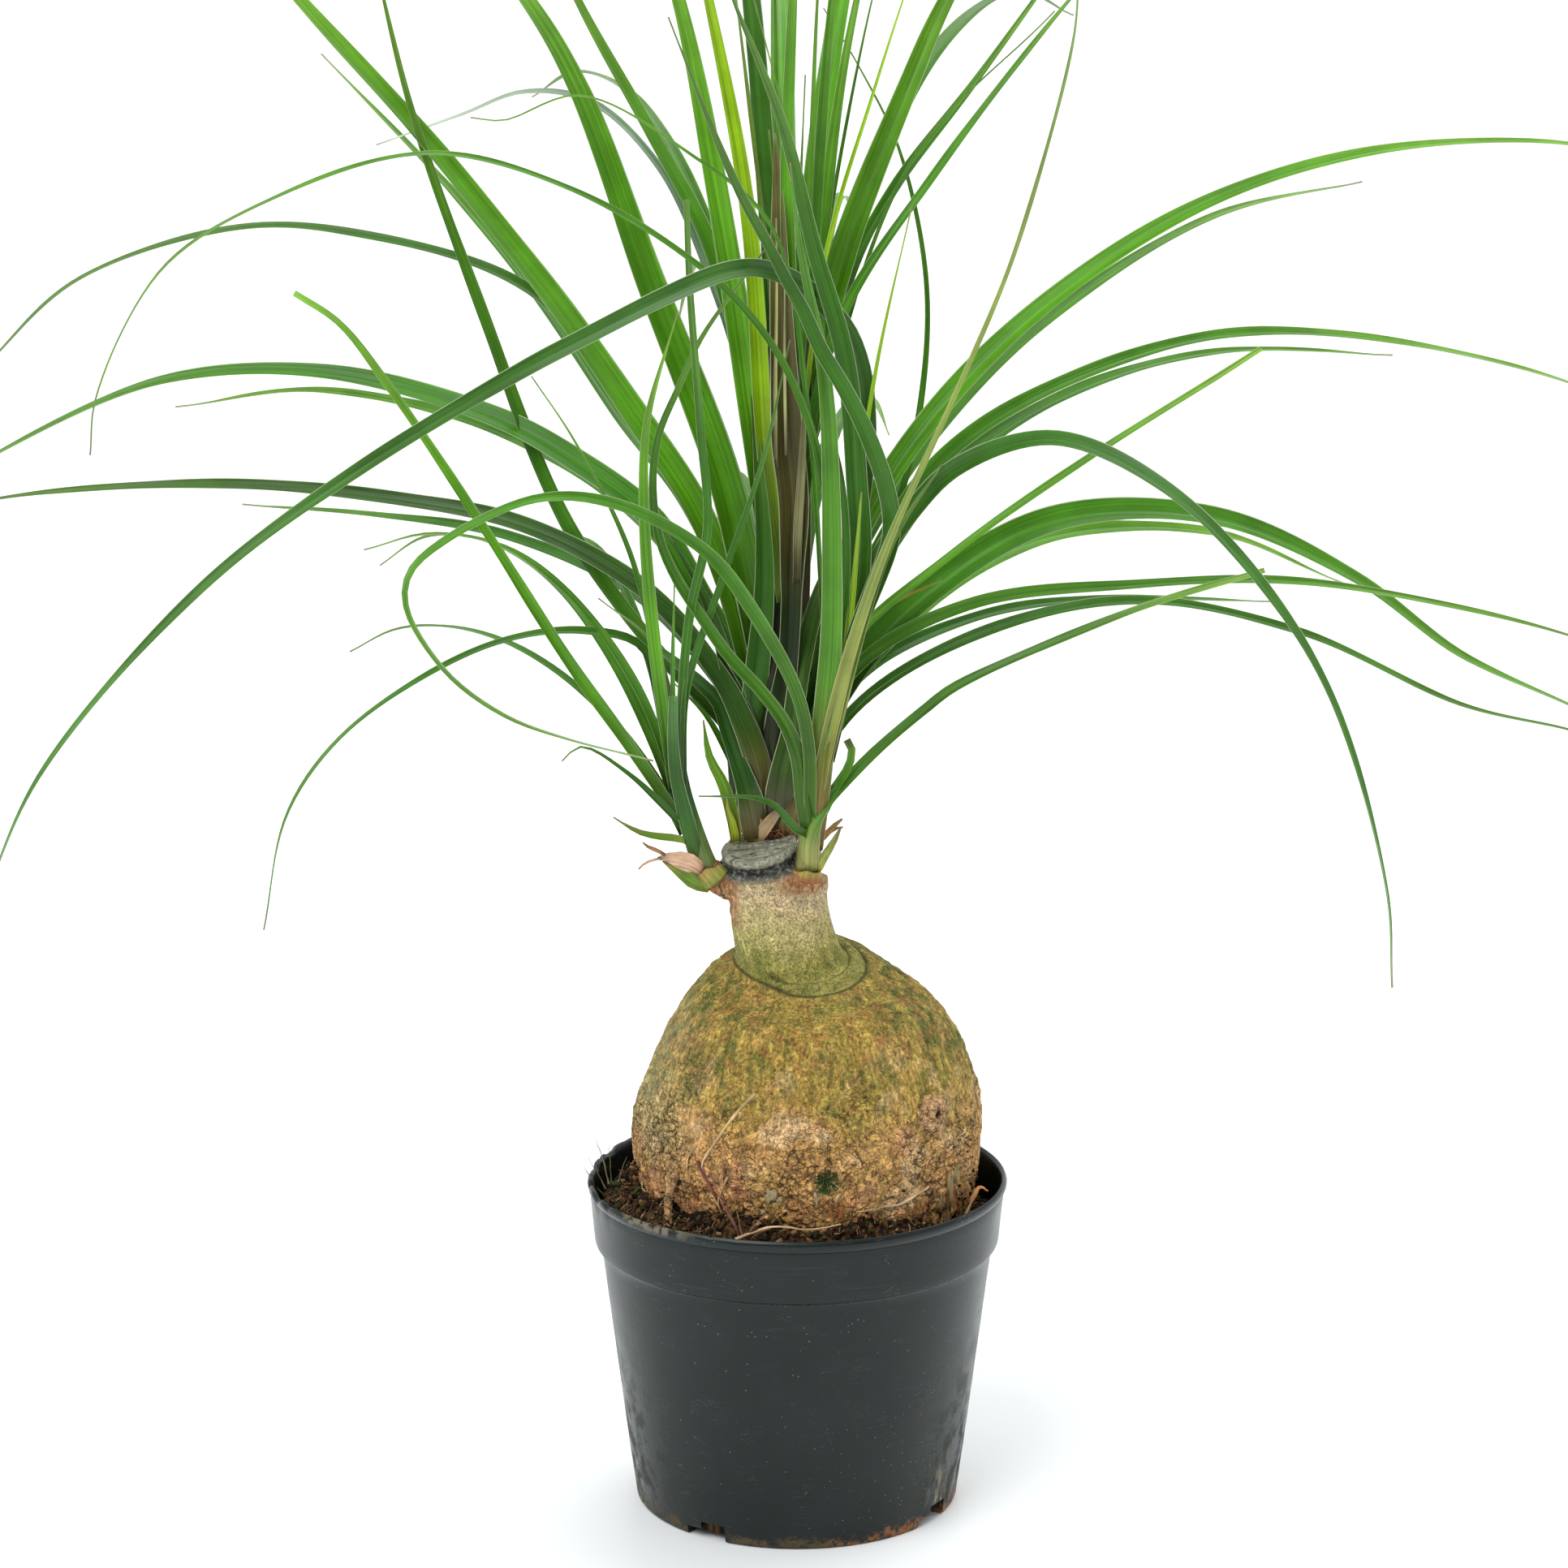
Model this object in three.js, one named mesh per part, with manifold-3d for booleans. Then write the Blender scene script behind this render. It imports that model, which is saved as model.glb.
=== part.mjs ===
// A potted ponytail palm: a swollen, corky caudex with a sawn-off trunk that has
// sprouted three leafy shoots, standing in a plain 14 cm plastic nursery pot.
// Millimetres, +Z up. The origin is the middle of the pot's flat underside, and
// the plant's front faces -Y.

import * as THREE from 'three';
import { mergeVertices } from 'three/addons/utils/BufferGeometryUtils.js';
import Module from 'manifold-3d';

const wasm = await Module();
wasm.setup();

// ---------------------------------------------------------------- dimensions

const GAP = 0.3; // clearance between pieces that touch

const POT_HEIGHT = 112;
const POT_RIM_RADIUS = 70;
const POT_BASE_RADIUS = 54.3;
const POT_WALL = 1.5;
const POT_FLOOR = 2;
const BAND_HEIGHT = 22; // the upright band under the rim
const BAND_FOOT_RADIUS = 67.6;
const BODY_TOP_RADIUS = 65.4;
const POT_SIDES = 48;

const NOTCH_COUNT = 4; // drainage notches in the corner of wall and floor
const NOTCH_WIDTH = 15;
const NOTCH_HEIGHT = 6;
const NOTCH_REACH = 8; // how far a notch runs in over the floor
const FIRST_NOTCH_ANGLE = -0.59; // from the front, to the left

const SOIL_LEVEL = 101;
const SOIL_LUMPS = 2.2;
const HOLE_CLEARANCE = 0.5; // round the caudex and its root, where they enter the soil

const BULB_RADIUS = 57.8;
const BULB_HEIGHT = 128; // of its widest ring, above the ground
const BULB_OFFSET = 3.8; // the bulb sits a little right of the pot's middle
const NECK_RADIUS = 15.6;
const NECK_TOP = 214;
const TRUNK_RADIUS = 12.4; // of the sawn trunk above the neck
const TRUNK_TOP = [-12.6, -2, 226]; // the middle of the sawn face
const TRUNK_LEAN = 0.2; // radians that the sawn face leans to the front
const TRUNK_TILT = 0.16; // and to the left
const TRUNK_DEPTH = 14; // how far the trunk runs down into the neck
const CAUDEX_SIDES = 36;
const TRUNK_SIDES = 24;

const BLADE_THICKNESS = 0.95;
const CHANNEL = 0.2; // how deep a blade is folded, as a share of its width
const STEP_LENGTH = 37; // along a blade, between two sections
const MIN_BLADE_WIDTH = 1.5;
const SHOOT_SIDES = 10;
const SCALE_THICKNESS = 0.9;

// Leaf routes are read as the plant is seen from the front: how far across and
// how far up, in millimetres on a sheet that stands square to the line of sight,
// and then how far back the point is from the pot's middle.
const EYE = new THREE.Vector3(-4.3, -1500, 613.4);
const EYE_TILT = 0.24; // radians below level
const SHEET_DISTANCE = 1547;
const SIGHT = new THREE.Vector3(0, Math.cos(EYE_TILT), -Math.sin(EYE_TILT));
const SHEET_UP = new THREE.Vector3(0, Math.sin(EYE_TILT), Math.cos(EYE_TILT));

// ------------------------------------------------------------------- colours

function material(color, roughness) {
  return new THREE.MeshStandardMaterial({ color, roughness, metalness: 0 });
}

const PLASTIC = material(0x2f3b3d, 0.45);
const EARTH = material(0x5d4030, 0.95);
const CORK = material(0xa98a55, 0.85);
const LEAF_DARK = material(0x3f6b2c, 0.5);
const LEAF_LEFT = material(0x5c8d33, 0.5);
const LEAF_RIGHT = material(0x4d7d3a, 0.5);
const LEAF_YELLOW = material(0xa3b02f, 0.6);
const PAPERY = material(0xb78f6c, 0.85);
const STRAW = material(0x8a6a4a, 0.85);
const BARK = material(0xb4b29a, 0.9);
const MOSS = material(0x4d6b38, 0.95);

// ------------------------------------------------------------------- helpers

const at = (x, y, z) => new THREE.Vector3(x, y, z);
const places = (list) => list.map((place) => at(...place));

function seen(across, up, back) {
  const ray = new THREE.Vector3(across, 0, 0);
  ray.addScaledVector(SIGHT, SHEET_DISTANCE).addScaledVector(SHEET_UP, up);
  return EYE.clone().addScaledVector(ray, (back - EYE.y) / ray.y);
}

function solid(geometry) {
  geometry.deleteAttribute('normal');
  geometry.deleteAttribute('uv');
  const merged = mergeVertices(geometry, 1e-4);
  return new wasm.Manifold(new wasm.Mesh({
    numProp: 3,
    vertProperties: new Float32Array(merged.attributes.position.array),
    triVerts: new Uint32Array(merged.index.array),
  }));
}

function meshOf(name, body, skin) {
  const { vertProperties, triVerts } = body.getMesh();
  const geometry = new THREE.BufferGeometry();
  geometry.setAttribute('position', new THREE.BufferAttribute(vertProperties, 3));
  geometry.setIndex(new THREE.BufferAttribute(triVerts, 1));
  geometry.computeVertexNormals();
  const mesh = new THREE.Mesh(geometry, skin);
  mesh.name = name;
  return mesh;
}

const fuse = (bodies) => bodies.reduce((whole, body) => whole.add(body));

// A closed body through rings of points: each ring is a list of Vector3, with the
// same even count, running anticlockwise as seen from the last ring. The faces on
// the two sides of a corner are split alike, so that a thin body keeps its walls apart.
function loft(rings) {
  const count = rings[0].length;
  const corners = rings.flat();
  const faces = [];
  for (let ring = 0; ring < rings.length - 1; ring++) {
    for (let side = 0; side < count; side++) {
      const a = ring * count + side;
      const b = ring * count + (side + 1) % count;
      if (side % 2) {
        faces.push(a, b, a + count, b, b + count, a + count);
      } else {
        faces.push(a, b, b + count, a, b + count, a + count);
      }
    }
  }
  const last = (rings.length - 1) * count;
  for (let side = 1; side < count - 1; side++) {
    faces.push(0, side + 1, side);
    faces.push(last, last + side, last + side + 1);
  }
  const geometry = new THREE.BufferGeometry();
  const numbers = corners.flatMap((corner) => corner.toArray());
  geometry.setAttribute('position', new THREE.Float32BufferAttribute(numbers, 3));
  geometry.setIndex(faces);
  return solid(geometry);
}

// A round stem that thins along its route. route and radii have one entry a ring.
function stem(route, radii, sides) {
  const rings = route.map((centre, index) => {
    const before = route[Math.max(index - 1, 0)];
    const after = route[Math.min(index + 1, route.length - 1)];
    const along = after.clone().sub(before).normalize();
    const across = new THREE.Vector3(0, 1, 0).cross(along).normalize();
    const third = along.clone().cross(across);
    return Array.from({ length: sides }, (_, side) => {
      const angle = (side / sides) * Math.PI * 2;
      return centre.clone()
        .addScaledVector(across, Math.cos(angle) * radii[index])
        .addScaledVector(third, Math.sin(angle) * radii[index]);
    });
  });
  return loft(rings);
}

function turned(profile, sides) {
  const points = profile.map(([radius, height]) => new THREE.Vector2(radius, height));
  return new THREE.LatheGeometry(points, sides).rotateX(Math.PI / 2);
}

function shaped(geometry, move) {
  geometry.deleteAttribute('normal');
  geometry.deleteAttribute('uv');
  const merged = mergeVertices(geometry, 1e-4);
  const place = merged.attributes.position;
  const point = new THREE.Vector3();
  for (let index = 0; index < place.count; index++) {
    point.fromBufferAttribute(place, index);
    move(point);
    place.setXYZ(index, point.x, point.y, point.z);
  }
  return merged;
}

// ----------------------------------------------------------------------- pot

function pot() {
  const crease = POT_HEIGHT - BAND_HEIGHT;
  const innerFoot = BODY_TOP_RADIUS - POT_WALL;
  const profile = [
    [0, 0],
    [POT_BASE_RADIUS - 1.2, 0],
    [POT_BASE_RADIUS, 1.2],
    [BODY_TOP_RADIUS, crease - 0.8],
    [BAND_FOOT_RADIUS - 0.9, crease],
    [BAND_FOOT_RADIUS, crease + 1.2],
    [POT_RIM_RADIUS - 0.6, POT_HEIGHT - 3.2],
    [POT_RIM_RADIUS, POT_HEIGHT - 2],
    [POT_RIM_RADIUS - 0.4, POT_HEIGHT - 0.3],
    [POT_RIM_RADIUS - 1.2, POT_HEIGHT],
    [POT_RIM_RADIUS - POT_WALL - 0.6, POT_HEIGHT - 1],
    [BAND_FOOT_RADIUS - POT_WALL, crease + 2.6],
    [innerFoot, crease - 0.8],
    [POT_BASE_RADIUS - POT_WALL, POT_FLOOR],
    [0, POT_FLOOR],
  ];
  let body = solid(turned(profile, POT_SIDES));
  for (let index = 0; index < NOTCH_COUNT; index++) {
    const notch = new THREE.BoxGeometry(NOTCH_WIDTH, NOTCH_REACH * 2, NOTCH_HEIGHT * 2);
    notch.translate(0, -POT_BASE_RADIUS, 0);
    notch.rotateZ(FIRST_NOTCH_ANGLE + (index / NOTCH_COUNT) * Math.PI * 2);
    body = body.subtract(solid(notch));
  }
  return body;
}

// -------------------------------------------------------------------- caudex

// Radius of the bulb and its neck at a height, above and below the soil.
const BULB_PROFILE = [
  [16, 52],
  [40, 68],
  [51, 88],
  [56, 110],
  [BULB_RADIUS, BULB_HEIGHT],
  [56.4, 140],
  [53, 150.5],
  [47.5, 162],
  [40, 174],
  [32, 182],
  [24.6, 186.2],
  [21.6, 186.6],
  [20.6, 190],
  [18.2, 191.4],
  [17.1, 196],
  [16, 204],
  [NECK_RADIUS, 210],
  [13, NECK_TOP],
];

const midOfNeck = (height) => BULB_OFFSET - 9.8 * THREE.MathUtils.smoothstep(height, 168, 208);

function bulb(grow) {
  const profile = [[0, 52 - grow], ...BULB_PROFILE.map(([radius, height]) => [radius + grow, height]),
    [0, NECK_TOP + grow]];
  return solid(shaped(turned(profile, CAUDEX_SIDES), (point) => {
    const radius = Math.hypot(point.x, point.y);
    const angle = Math.atan2(point.y, point.x);
    if (radius > 0) {
      const lobes = 0.011 * Math.sin(2 * angle + 0.8) + 0.012 * Math.sin(3 * angle + point.z / 21)
        + 0.008 * Math.sin(7 * angle - point.z / 9) * THREE.MathUtils.smoothstep(radius, 20, 50);
      point.x *= 1 + lobes;
      point.y *= 1 + lobes;
    }
    point.x += midOfNeck(point.z);
  }));
}

// The sawn trunk stands a little left of the neck and leans to the front.
function sawnTrunk(grow) {
  const radius = TRUNK_RADIUS + grow;
  const trunk = turned([[0, -TRUNK_DEPTH], [radius + 1.5, -TRUNK_DEPTH], [radius + 0.4, -5],
    [radius, -1.4], [radius - 1, grow], [0, grow]], TRUNK_SIDES);
  trunk.rotateX(TRUNK_LEAN);
  trunk.rotateY(-TRUNK_TILT);
  trunk.translate(...TRUNK_TOP);
  return solid(trunk);
}

// The short woody arms that carry the shoots.
const MAIN_ARM = places([[-9, 7, 206], [-8.5, 11, 215], [-8, 13, 222]]);
const LEFT_ARM = places([[-18, -1, 203], [-24, -3, 208.5], [-29, -4, 213]]);
const RIGHT_ARM = places([[1, -4, 205], [3.5, -6.5, 211], [5, -7.5, 215.5]]);
const SIDE_BUMP = places([[3, -1, 205], [6.5, 0, 210.5], [7.5, 0, 214.5]]);

function arms(grow) {
  const wider = (radii) => radii.map((radius) => radius + grow);
  return [
    stem(MAIN_ARM, wider([12, 11.5, 9.5]), 12),
    stem(LEFT_ARM, wider([7, 5.6, 5.2]), 10),
    stem(RIGHT_ARM, wider([7, 7, 6.4]), 10),
    stem(SIDE_BUMP, wider([5, 3.6, 2]), 8),
  ];
}

// One thick root leaves the bulb at the front left and goes down into the soil.
function thickRoot(grow) {
  const route = places([[-42, -32, 119], [-45.5, -40.5, 113], [-46, -43.5, 106], [-44.5, -43, 96],
    [-38, -36, 84]]);
  const radii = [2.6, 1.7, 1.6, 1.6, 1.8];
  return stem(route, radii.map((radius) => radius + grow), 8);
}

// The rim of a dead knot, on the right of the bulb.
function knot() {
  const rim = new THREE.TorusGeometry(2.6, 1.3, 6, 10).rotateX(Math.PI / 2);
  rim.rotateZ(0.98).translate(44.6, -32, 141.5);
  return solid(rim);
}

const caudexBody = (grow) => fuse([bulb(grow), sawnTrunk(grow), ...arms(grow), thickRoot(grow)]);

// ---------------------------------------------------------------------- soil

function lumps(x, y) {
  return SOIL_LUMPS * (0.5 * Math.sin(x / 5.1 + 1.3) * Math.cos(y / 4.3)
    + 0.4 * Math.sin(x / 2.9 - y / 3.7) + 0.3 * Math.cos(x / 9 + y / 6 + 2)) + 1.6 * Math.sin(x / 40 + 2.6);
}

function soil() {
  const innerTop = BODY_TOP_RADIUS - POT_WALL - GAP;
  const innerFoot = POT_BASE_RADIUS - POT_WALL - GAP;
  const slope = (innerTop - innerFoot) / (POT_HEIGHT - BAND_HEIGHT);
  const floor = POT_FLOOR + GAP;
  const crease = POT_HEIGHT - BAND_HEIGHT - 1;
  const edge = innerFoot + slope * crease;
  const profile = [[0, floor], [innerFoot, floor], [edge, crease], [edge + 1.2, SOIL_LEVEL]];
  for (let radius = edge - 2.6; radius > 48; radius -= 4.2) {
    profile.push([radius, SOIL_LEVEL]);
  }
  profile.push([0, SOIL_LEVEL]);
  const heap = shaped(turned(profile, 40), (point) => {
    if (point.z > SOIL_LEVEL - 1 && Math.hypot(point.x, point.y) > 1) {
      point.z += lumps(point.x, point.y);
    }
  });
  return solid(heap).subtract(bulb(HOLE_CLEARANCE)).subtract(thickRoot(HOLE_CLEARANCE));
}

// -------------------------------------------------------------------- leaves

// A long blade folded to a shallow channel. path is its midline from the root to
// the tip, faceAt gives the way that its upper side faces, and cut leaves the end
// square, as on a leaf that was trimmed.
function blade(path, { width, faceAt, cut = false, base = 0.8 }) {
  const steps = Math.max(3, Math.round(path.getLength() / STEP_LENGTH));
  const rings = [];
  for (let step = 0; step <= steps; step++) {
    const share = step / steps;
    const along = path.getTangentAt(share);
    const face = faceAt(share, along);
    face.addScaledVector(along, -face.dot(along)).normalize();
    const across = along.clone().cross(face);
    const swelling = THREE.MathUtils.lerp(base, 1, THREE.MathUtils.smoothstep(share, 0, 0.3));
    const taper = cut ? 1 - 0.45 * share ** 2 : 1 - share ** 2.6;
    const half = Math.max(width * swelling * taper, MIN_BLADE_WIDTH * (share === 1 && !cut ? 0.6 : 1)) / 2;
    const centre = path.getPointAt(share);
    const edge = centre.clone().addScaledVector(face, CHANNEL * half * 2);
    const underside = centre.clone().addScaledVector(face, -BLADE_THICKNESS);
    const right = edge.clone().addScaledVector(across, -half);
    const left = edge.clone().addScaledVector(across, half);
    rings.push([underside, right, centre, left]);
  }
  return loft(rings);
}

// A leaf whose route is read from the front. lean turns its upper side from the
// viewer (0) towards up and in to the plant (90), at the root, middle and tip.
function leaf(width, lean, route, options = {}) {
  const points = route.map((place) => seen(...place));
  const path = new THREE.CatmullRomCurve3(points, false, 'centripetal');
  const side = options.side ?? Math.sign(points.at(-1).x - points[0].x);
  const faceAt = (share, along) => {
    const [from, to] = share < 0.5 ? [lean[0], lean[1]] : [lean[1], lean[2]];
    const angle = THREE.MathUtils.degToRad(THREE.MathUtils.lerp(from, to, (share * 2) % 1));
    const inward = along.clone().cross(SIGHT).normalize().multiplyScalar(side);
    const toward = SIGHT.clone().addScaledVector(along, -SIGHT.dot(along)).normalize().negate();
    return toward.multiplyScalar(Math.cos(angle)).addScaledVector(inward, Math.sin(angle));
  };
  return blade(path, { width, faceAt, ...options });
}

// Leaves that the front hides: each rises from the crown, arches over and hangs.
// turn is its compass direction in degrees from the right, counted to the back.
function arching(from, turn, length, rise, droop, width) {
  const angle = THREE.MathUtils.degToRad(turn);
  const out = new THREE.Vector3(Math.cos(angle), Math.sin(angle), 0);
  const points = [from.clone()];
  const bends = 7;
  let climb = THREE.MathUtils.degToRad(rise);
  for (let bend = 1; bend <= bends; bend++) {
    const next = points.at(-1).clone().addScaledVector(out, Math.cos(climb) * length / bends);
    next.z += Math.sin(climb) * length / bends;
    points.push(next);
    climb -= THREE.MathUtils.degToRad(droop) * (0.4 + 1.2 * bend / bends) / bends;
  }
  const path = new THREE.CatmullRomCurve3(points, false, 'centripetal');
  const level = new THREE.Vector3(-out.y, out.x, 0);
  const faceAt = (share, along) => level.clone().cross(along).negate()
    .addScaledVector(level, 0.3 * Math.sin(turn + 3 * share));
  return blade(path, { width, faceAt });
}

// ------------------------------------------------------- crown behind the cut

function mainLeaves() {
  return [
    // long leaves that arch to the left
    leaf(10.5, [20, 35, 30], [[-5, 8, 12], [-12, 40, 14], [-19, 66, 18], [-30, 92, 24], [-51, 123, 34],
      [-77, 160, 48], [-114, 207, 62], [-160, 258, 75], [-215, 325, 92]]),
    leaf(5.8, [20, 30, 20], [[-6, 2, 15], [-20, 20, 17], [-44, 46, 24], [-71, 84, 36], [-98, 151, 50],
      [-122, 220, 62], [-138, 285, 72]]),
    leaf(5.6, [30, 45, 50], [[-6, 10, 16], [-18, 55, 20], [-28, 87, 27], [-51, 126, 40], [-84, 162, 56],
      [-138, 180, 74], [-178, 183, 80], [-231, 166, 78], [-258, 142, 70], [-275, 122, 64]]),
    leaf(9.6, [10, 35, 60], [[0, 6, 13], [-10, 31, 13], [-26, 58, 18], [-44, 87, 26], [-71, 107, 36],
      [-98, 121, 46], [-151, 135, 58], [-204, 132, 60], [-258, 109, 50], [-280, 96, 44]]),
    leaf(7, [20, 40, 50], [[-3, 2, 12], [-8, 18, 11], [-20, 36, 13], [-44, 62, 20], [-84, 84, 34],
      [-124, 93, 44], [-178, 98, 52], [-258, 94, 52], [-285, 86, 48]]),
    leaf(3.6, [20, 40, 30], [[-2, 40, 22], [-11, 122, 28], [-26, 170, 38], [-41, 202, 48], [-63, 224, 60],
      [-86, 227.5, 70], [-106, 220, 75], [-134, 210, 80]]),
    leaf(6.2, [10, 20, 50], [[-12, -16, 9], [-17, 7, 8], [-20, 18, 8], [-22, 27, 9], [-28, 33, 11],
      [-44, 47, 17]]),
    leaf(2.8, [20, 30, 40], [[-12, -4, 12], [-19, 11, 10], [-26, 23, 12], [-37, 34, 17]]),

    // leaves that stand up and lean left
    leaf(6.6, [10, 20, 20], [[-2, 30, 18], [-10, 119, 20], [-24, 175, 28], [-44, 214, 38], [-68, 258, 50],
      [-92, 312, 66]]),
    leaf(12, [5, 20, 30], [[-3, 20, 16], [-12, 66, 17], [-20, 100, 20], [-44, 164, 34], [-68, 228, 50],
      [-85, 258, 60], [-128, 310, 80]]),
    leaf(9.2, [5, 10, 20], [[-1, 50, 14], [-11, 124, 16], [-23, 199, 24], [-35, 258, 33], [-56, 322, 46]]),
    leaf(6.2, [0, 10, 20], [[0, 60, 13], [-6, 108, 14], [-12, 188, 18], [-25, 258, 26], [-42, 330, 36]]),
    leaf(2.4, [30, 40, 30], [[0, 80, 18], [-4, 156, 20], [-12, 228, 26], [-20, 290, 32]]),
    leaf(2.4, [20, 30, 20], [[1, 90, 22], [-2, 178, 26], [-3, 258, 34], [-5, 300, 40]]),
    leaf(1.6, [0, 0, 0], [[0, 110, 24], [-3, 191, 28], [-5, 215, 30]]),

    // the purple-brown sheaths in the middle
    leaf(14.5, [0, 0, 20], [[-6, -14, 10], [-3, 31, 10], [0.5, 71, 12], [2, 108, 15], [0.5, 156, 18],
      [-2, 215, 22]]),
    leaf(11, [-30, -20, 0], [[2, -8, 18], [4, 60, 22], [7, 120, 24], [9, 170, 30]], { side: 1 }),
    leaf(10, [20, 10, 0], [[-14, -12, 14], [-14, 20, 15], [-9, 70, 18], [-5, 118, 22]], { side: -1 }),

    // leaves that stand up and lean right
    leaf(5.5, [0, 0, 20], [[1, 90, 14], [1, 199, 14], [3, 258, 10], [8, 340, 0]], { side: 1 }),
    leaf(2.6, [0, 0, 0], [[2, 100, 20], [8, 183, 22], [11, 258, 22], [14, 300, 22]]),
    leaf(5, [0, 10, 20], [[2, 90, 24], [10, 178, 28], [16, 258, 34], [26, 335, 48]]),
    leaf(6.2, [10, 20, 20], [[3, 90, 26], [12, 172, 32], [20, 236, 42], [33, 300, 56]]),
    leaf(1.6, [0, 0, 0], [[3, 100, 30], [14, 180, 36], [29, 258, 48], [37, 286, 54]]),
    leaf(1.8, [0, 0, 0], [[3, 90, 20], [14, 175, 22], [29, 226, 27], [48, 285, 34]]),
    leaf(1.6, [0, 0, 0], [[2, 110, 18], [6, 210, 16], [7, 233, 14]]),
    leaf(10.8, [0, 15, 20], [[2, 40, 18], [2, 71, 19], [9, 132, 26], [21, 178, 37], [42, 231, 53],
      [54, 258, 62], [90, 318, 86]]),
    leaf(5.2, [20, 30, 30], [[2, 90, 30], [22, 167, 44], [36, 195, 54], [63, 231, 72], [100, 282, 98]]),
    leaf(4, [20, 30, 30], [[2, 80, 18], [18, 151, 24], [49, 199, 32], [94, 258, 42], [120, 285, 48]]),
    leaf(1.6, [0, 0, 0], [[2, 85, 26], [41, 203, 42], [89, 254, 58]]),
    leaf(2.6, [10, 20, 20], [[4, 10, 26], [36, 87, 40], [45, 124, 48], [47, 164, 55], [38, 208, 61],
      [25, 235, 65], [13, 255, 68]], { side: 1 }),

    // long leaves that arch to the right
    leaf(9.4, [20, 40, 50], [[6, 20, 20], [25, 82, 26], [49, 120, 36], [89, 159, 52], [142, 192, 66],
      [196, 208, 72], [258, 210, 70], [285, 203, 66]]),
    leaf(7.4, [30, 45, 60], [[5, 15, 24], [33, 79, 34], [52, 106, 44], [89, 130, 60], [142, 147, 78],
      [209, 144, 88], [258, 132, 84], [280, 122, 80]]),
    leaf(3.8, [30, 40, 30], [[4, 5, 14], [20, 44, 17], [54, 74, 24], [102, 108, 33],
      [157, 143, 42]], { cut: true }),
    leaf(11.6, [10, 40, 60], [[2, 0, 22], [25, 40, 26], [49, 64, 33], [89, 86, 44], [142, 87, 54],
      [188, 67, 56], [222, 42, 50], [258, 26, 43], [272, 20, 40]]),
    leaf(5.6, [20, 50, 40], [[3, -2, 18], [24, 38, 20], [62, 59, 27], [116, 65, 35], [169, 66, 38],
      [222, 58, 35], [258, 49, 30], [282, 40, 26]]),
    leaf(5, [30, 45, 40], [[2, -8, 13], [25, 26, 12], [62, 48, 16], [116, 60, 20], [169, 50, 19],
      [222, 26, 15], [258, 18, 10], [276, 12, 8]]),
    leaf(3, [0, 10, 20], [[6, 14, 16], [30, 55, 22], [52, 67, 27]]),
  ];
}

// Behind, the crown is as full as in front. These leaves go nearly straight back.
const CROWN_MIDDLE = at(-4, 16, 262);
const BACK_LEAVES = [
  // turn, length, rise, droop, width
  [64, 390, 84, 112, 10], [76, 300, 68, 118, 8], [84, 340, 60, 104, 7], [91, 410, 82, 126, 10],
  [98, 270, 54, 96, 6], [106, 360, 72, 128, 9], [115, 330, 80, 112, 8], [88, 200, 70, 60, 5],
  [71, 420, 87, 62, 9], [104, 430, 86, 54, 9],
];

// These lie behind a leaf that the front shows, and swing further back with it.
const BACK_TWINS = [
  // reach, width, then the same places as the leaf in front
  [120, 8, [[-6, 6, 15], [-19, 64, 22], [-32, 92, 30], [-54, 121, 42], [-79, 157, 56], [-115, 201, 70],
    [-152, 240, 84]]],
  [130, 7, [[-2, 8, 15], [-12, 34, 19], [-46, 86, 34], [-98, 117, 52], [-151, 129, 66], [-200, 124, 70]]],
  [100, 6, [[-4, 4, 14], [-22, 34, 20], [-48, 62, 30], [-90, 81, 44], [-134, 88, 56], [-178, 92, 64]]],
  [130, 8, [[0, 20, 16], [25, 78, 32], [50, 116, 44], [89, 154, 60], [140, 186, 76], [190, 198, 84]]],
  [110, 7, [[0, 12, 17], [34, 76, 42], [54, 102, 52], [90, 126, 68], [142, 142, 88], [200, 141, 96]]],
  [120, 8, [[-1, 4, 16], [26, 38, 31], [52, 63, 42], [92, 82, 56], [142, 82, 66], [184, 66, 70]]],
  [90, 5, [[-1, 0, 15], [26, 36, 27], [64, 55, 36], [116, 61, 46], [160, 60, 50]]],
];

function twin([reach, width, route]) {
  const last = route.length - 1;
  const swung = route.map(([across, up, back], index) => [across, up,
    back + reach * (index / last) ** 1.5]);
  return leaf(width, [20, 40, 50], swung);
}

const crownCore = () => stem(places([[-8, 12.5, 222.4], [-7.5, 13, 240], [-6, 14, 270],
  [-4, 17, 305], [-2, 20, 350], [0, 22, 395]]), [9, 8.4, 7, 5.4, 4, 2.2], SHOOT_SIDES);

function mainCrown() {
  const back = BACK_LEAVES.map(([turn, length, rise, droop, width], index) => {
    const start = CROWN_MIDDLE.clone();
    start.z += (index % 4) * 11 - 12;
    return arching(start, turn, length, rise, droop, width);
  });
  return fuse([crownCore(), ...mainLeaves(), ...back, ...BACK_TWINS.map(twin)]);
}

// --------------------------------------------------------- shoot on the right

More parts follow.
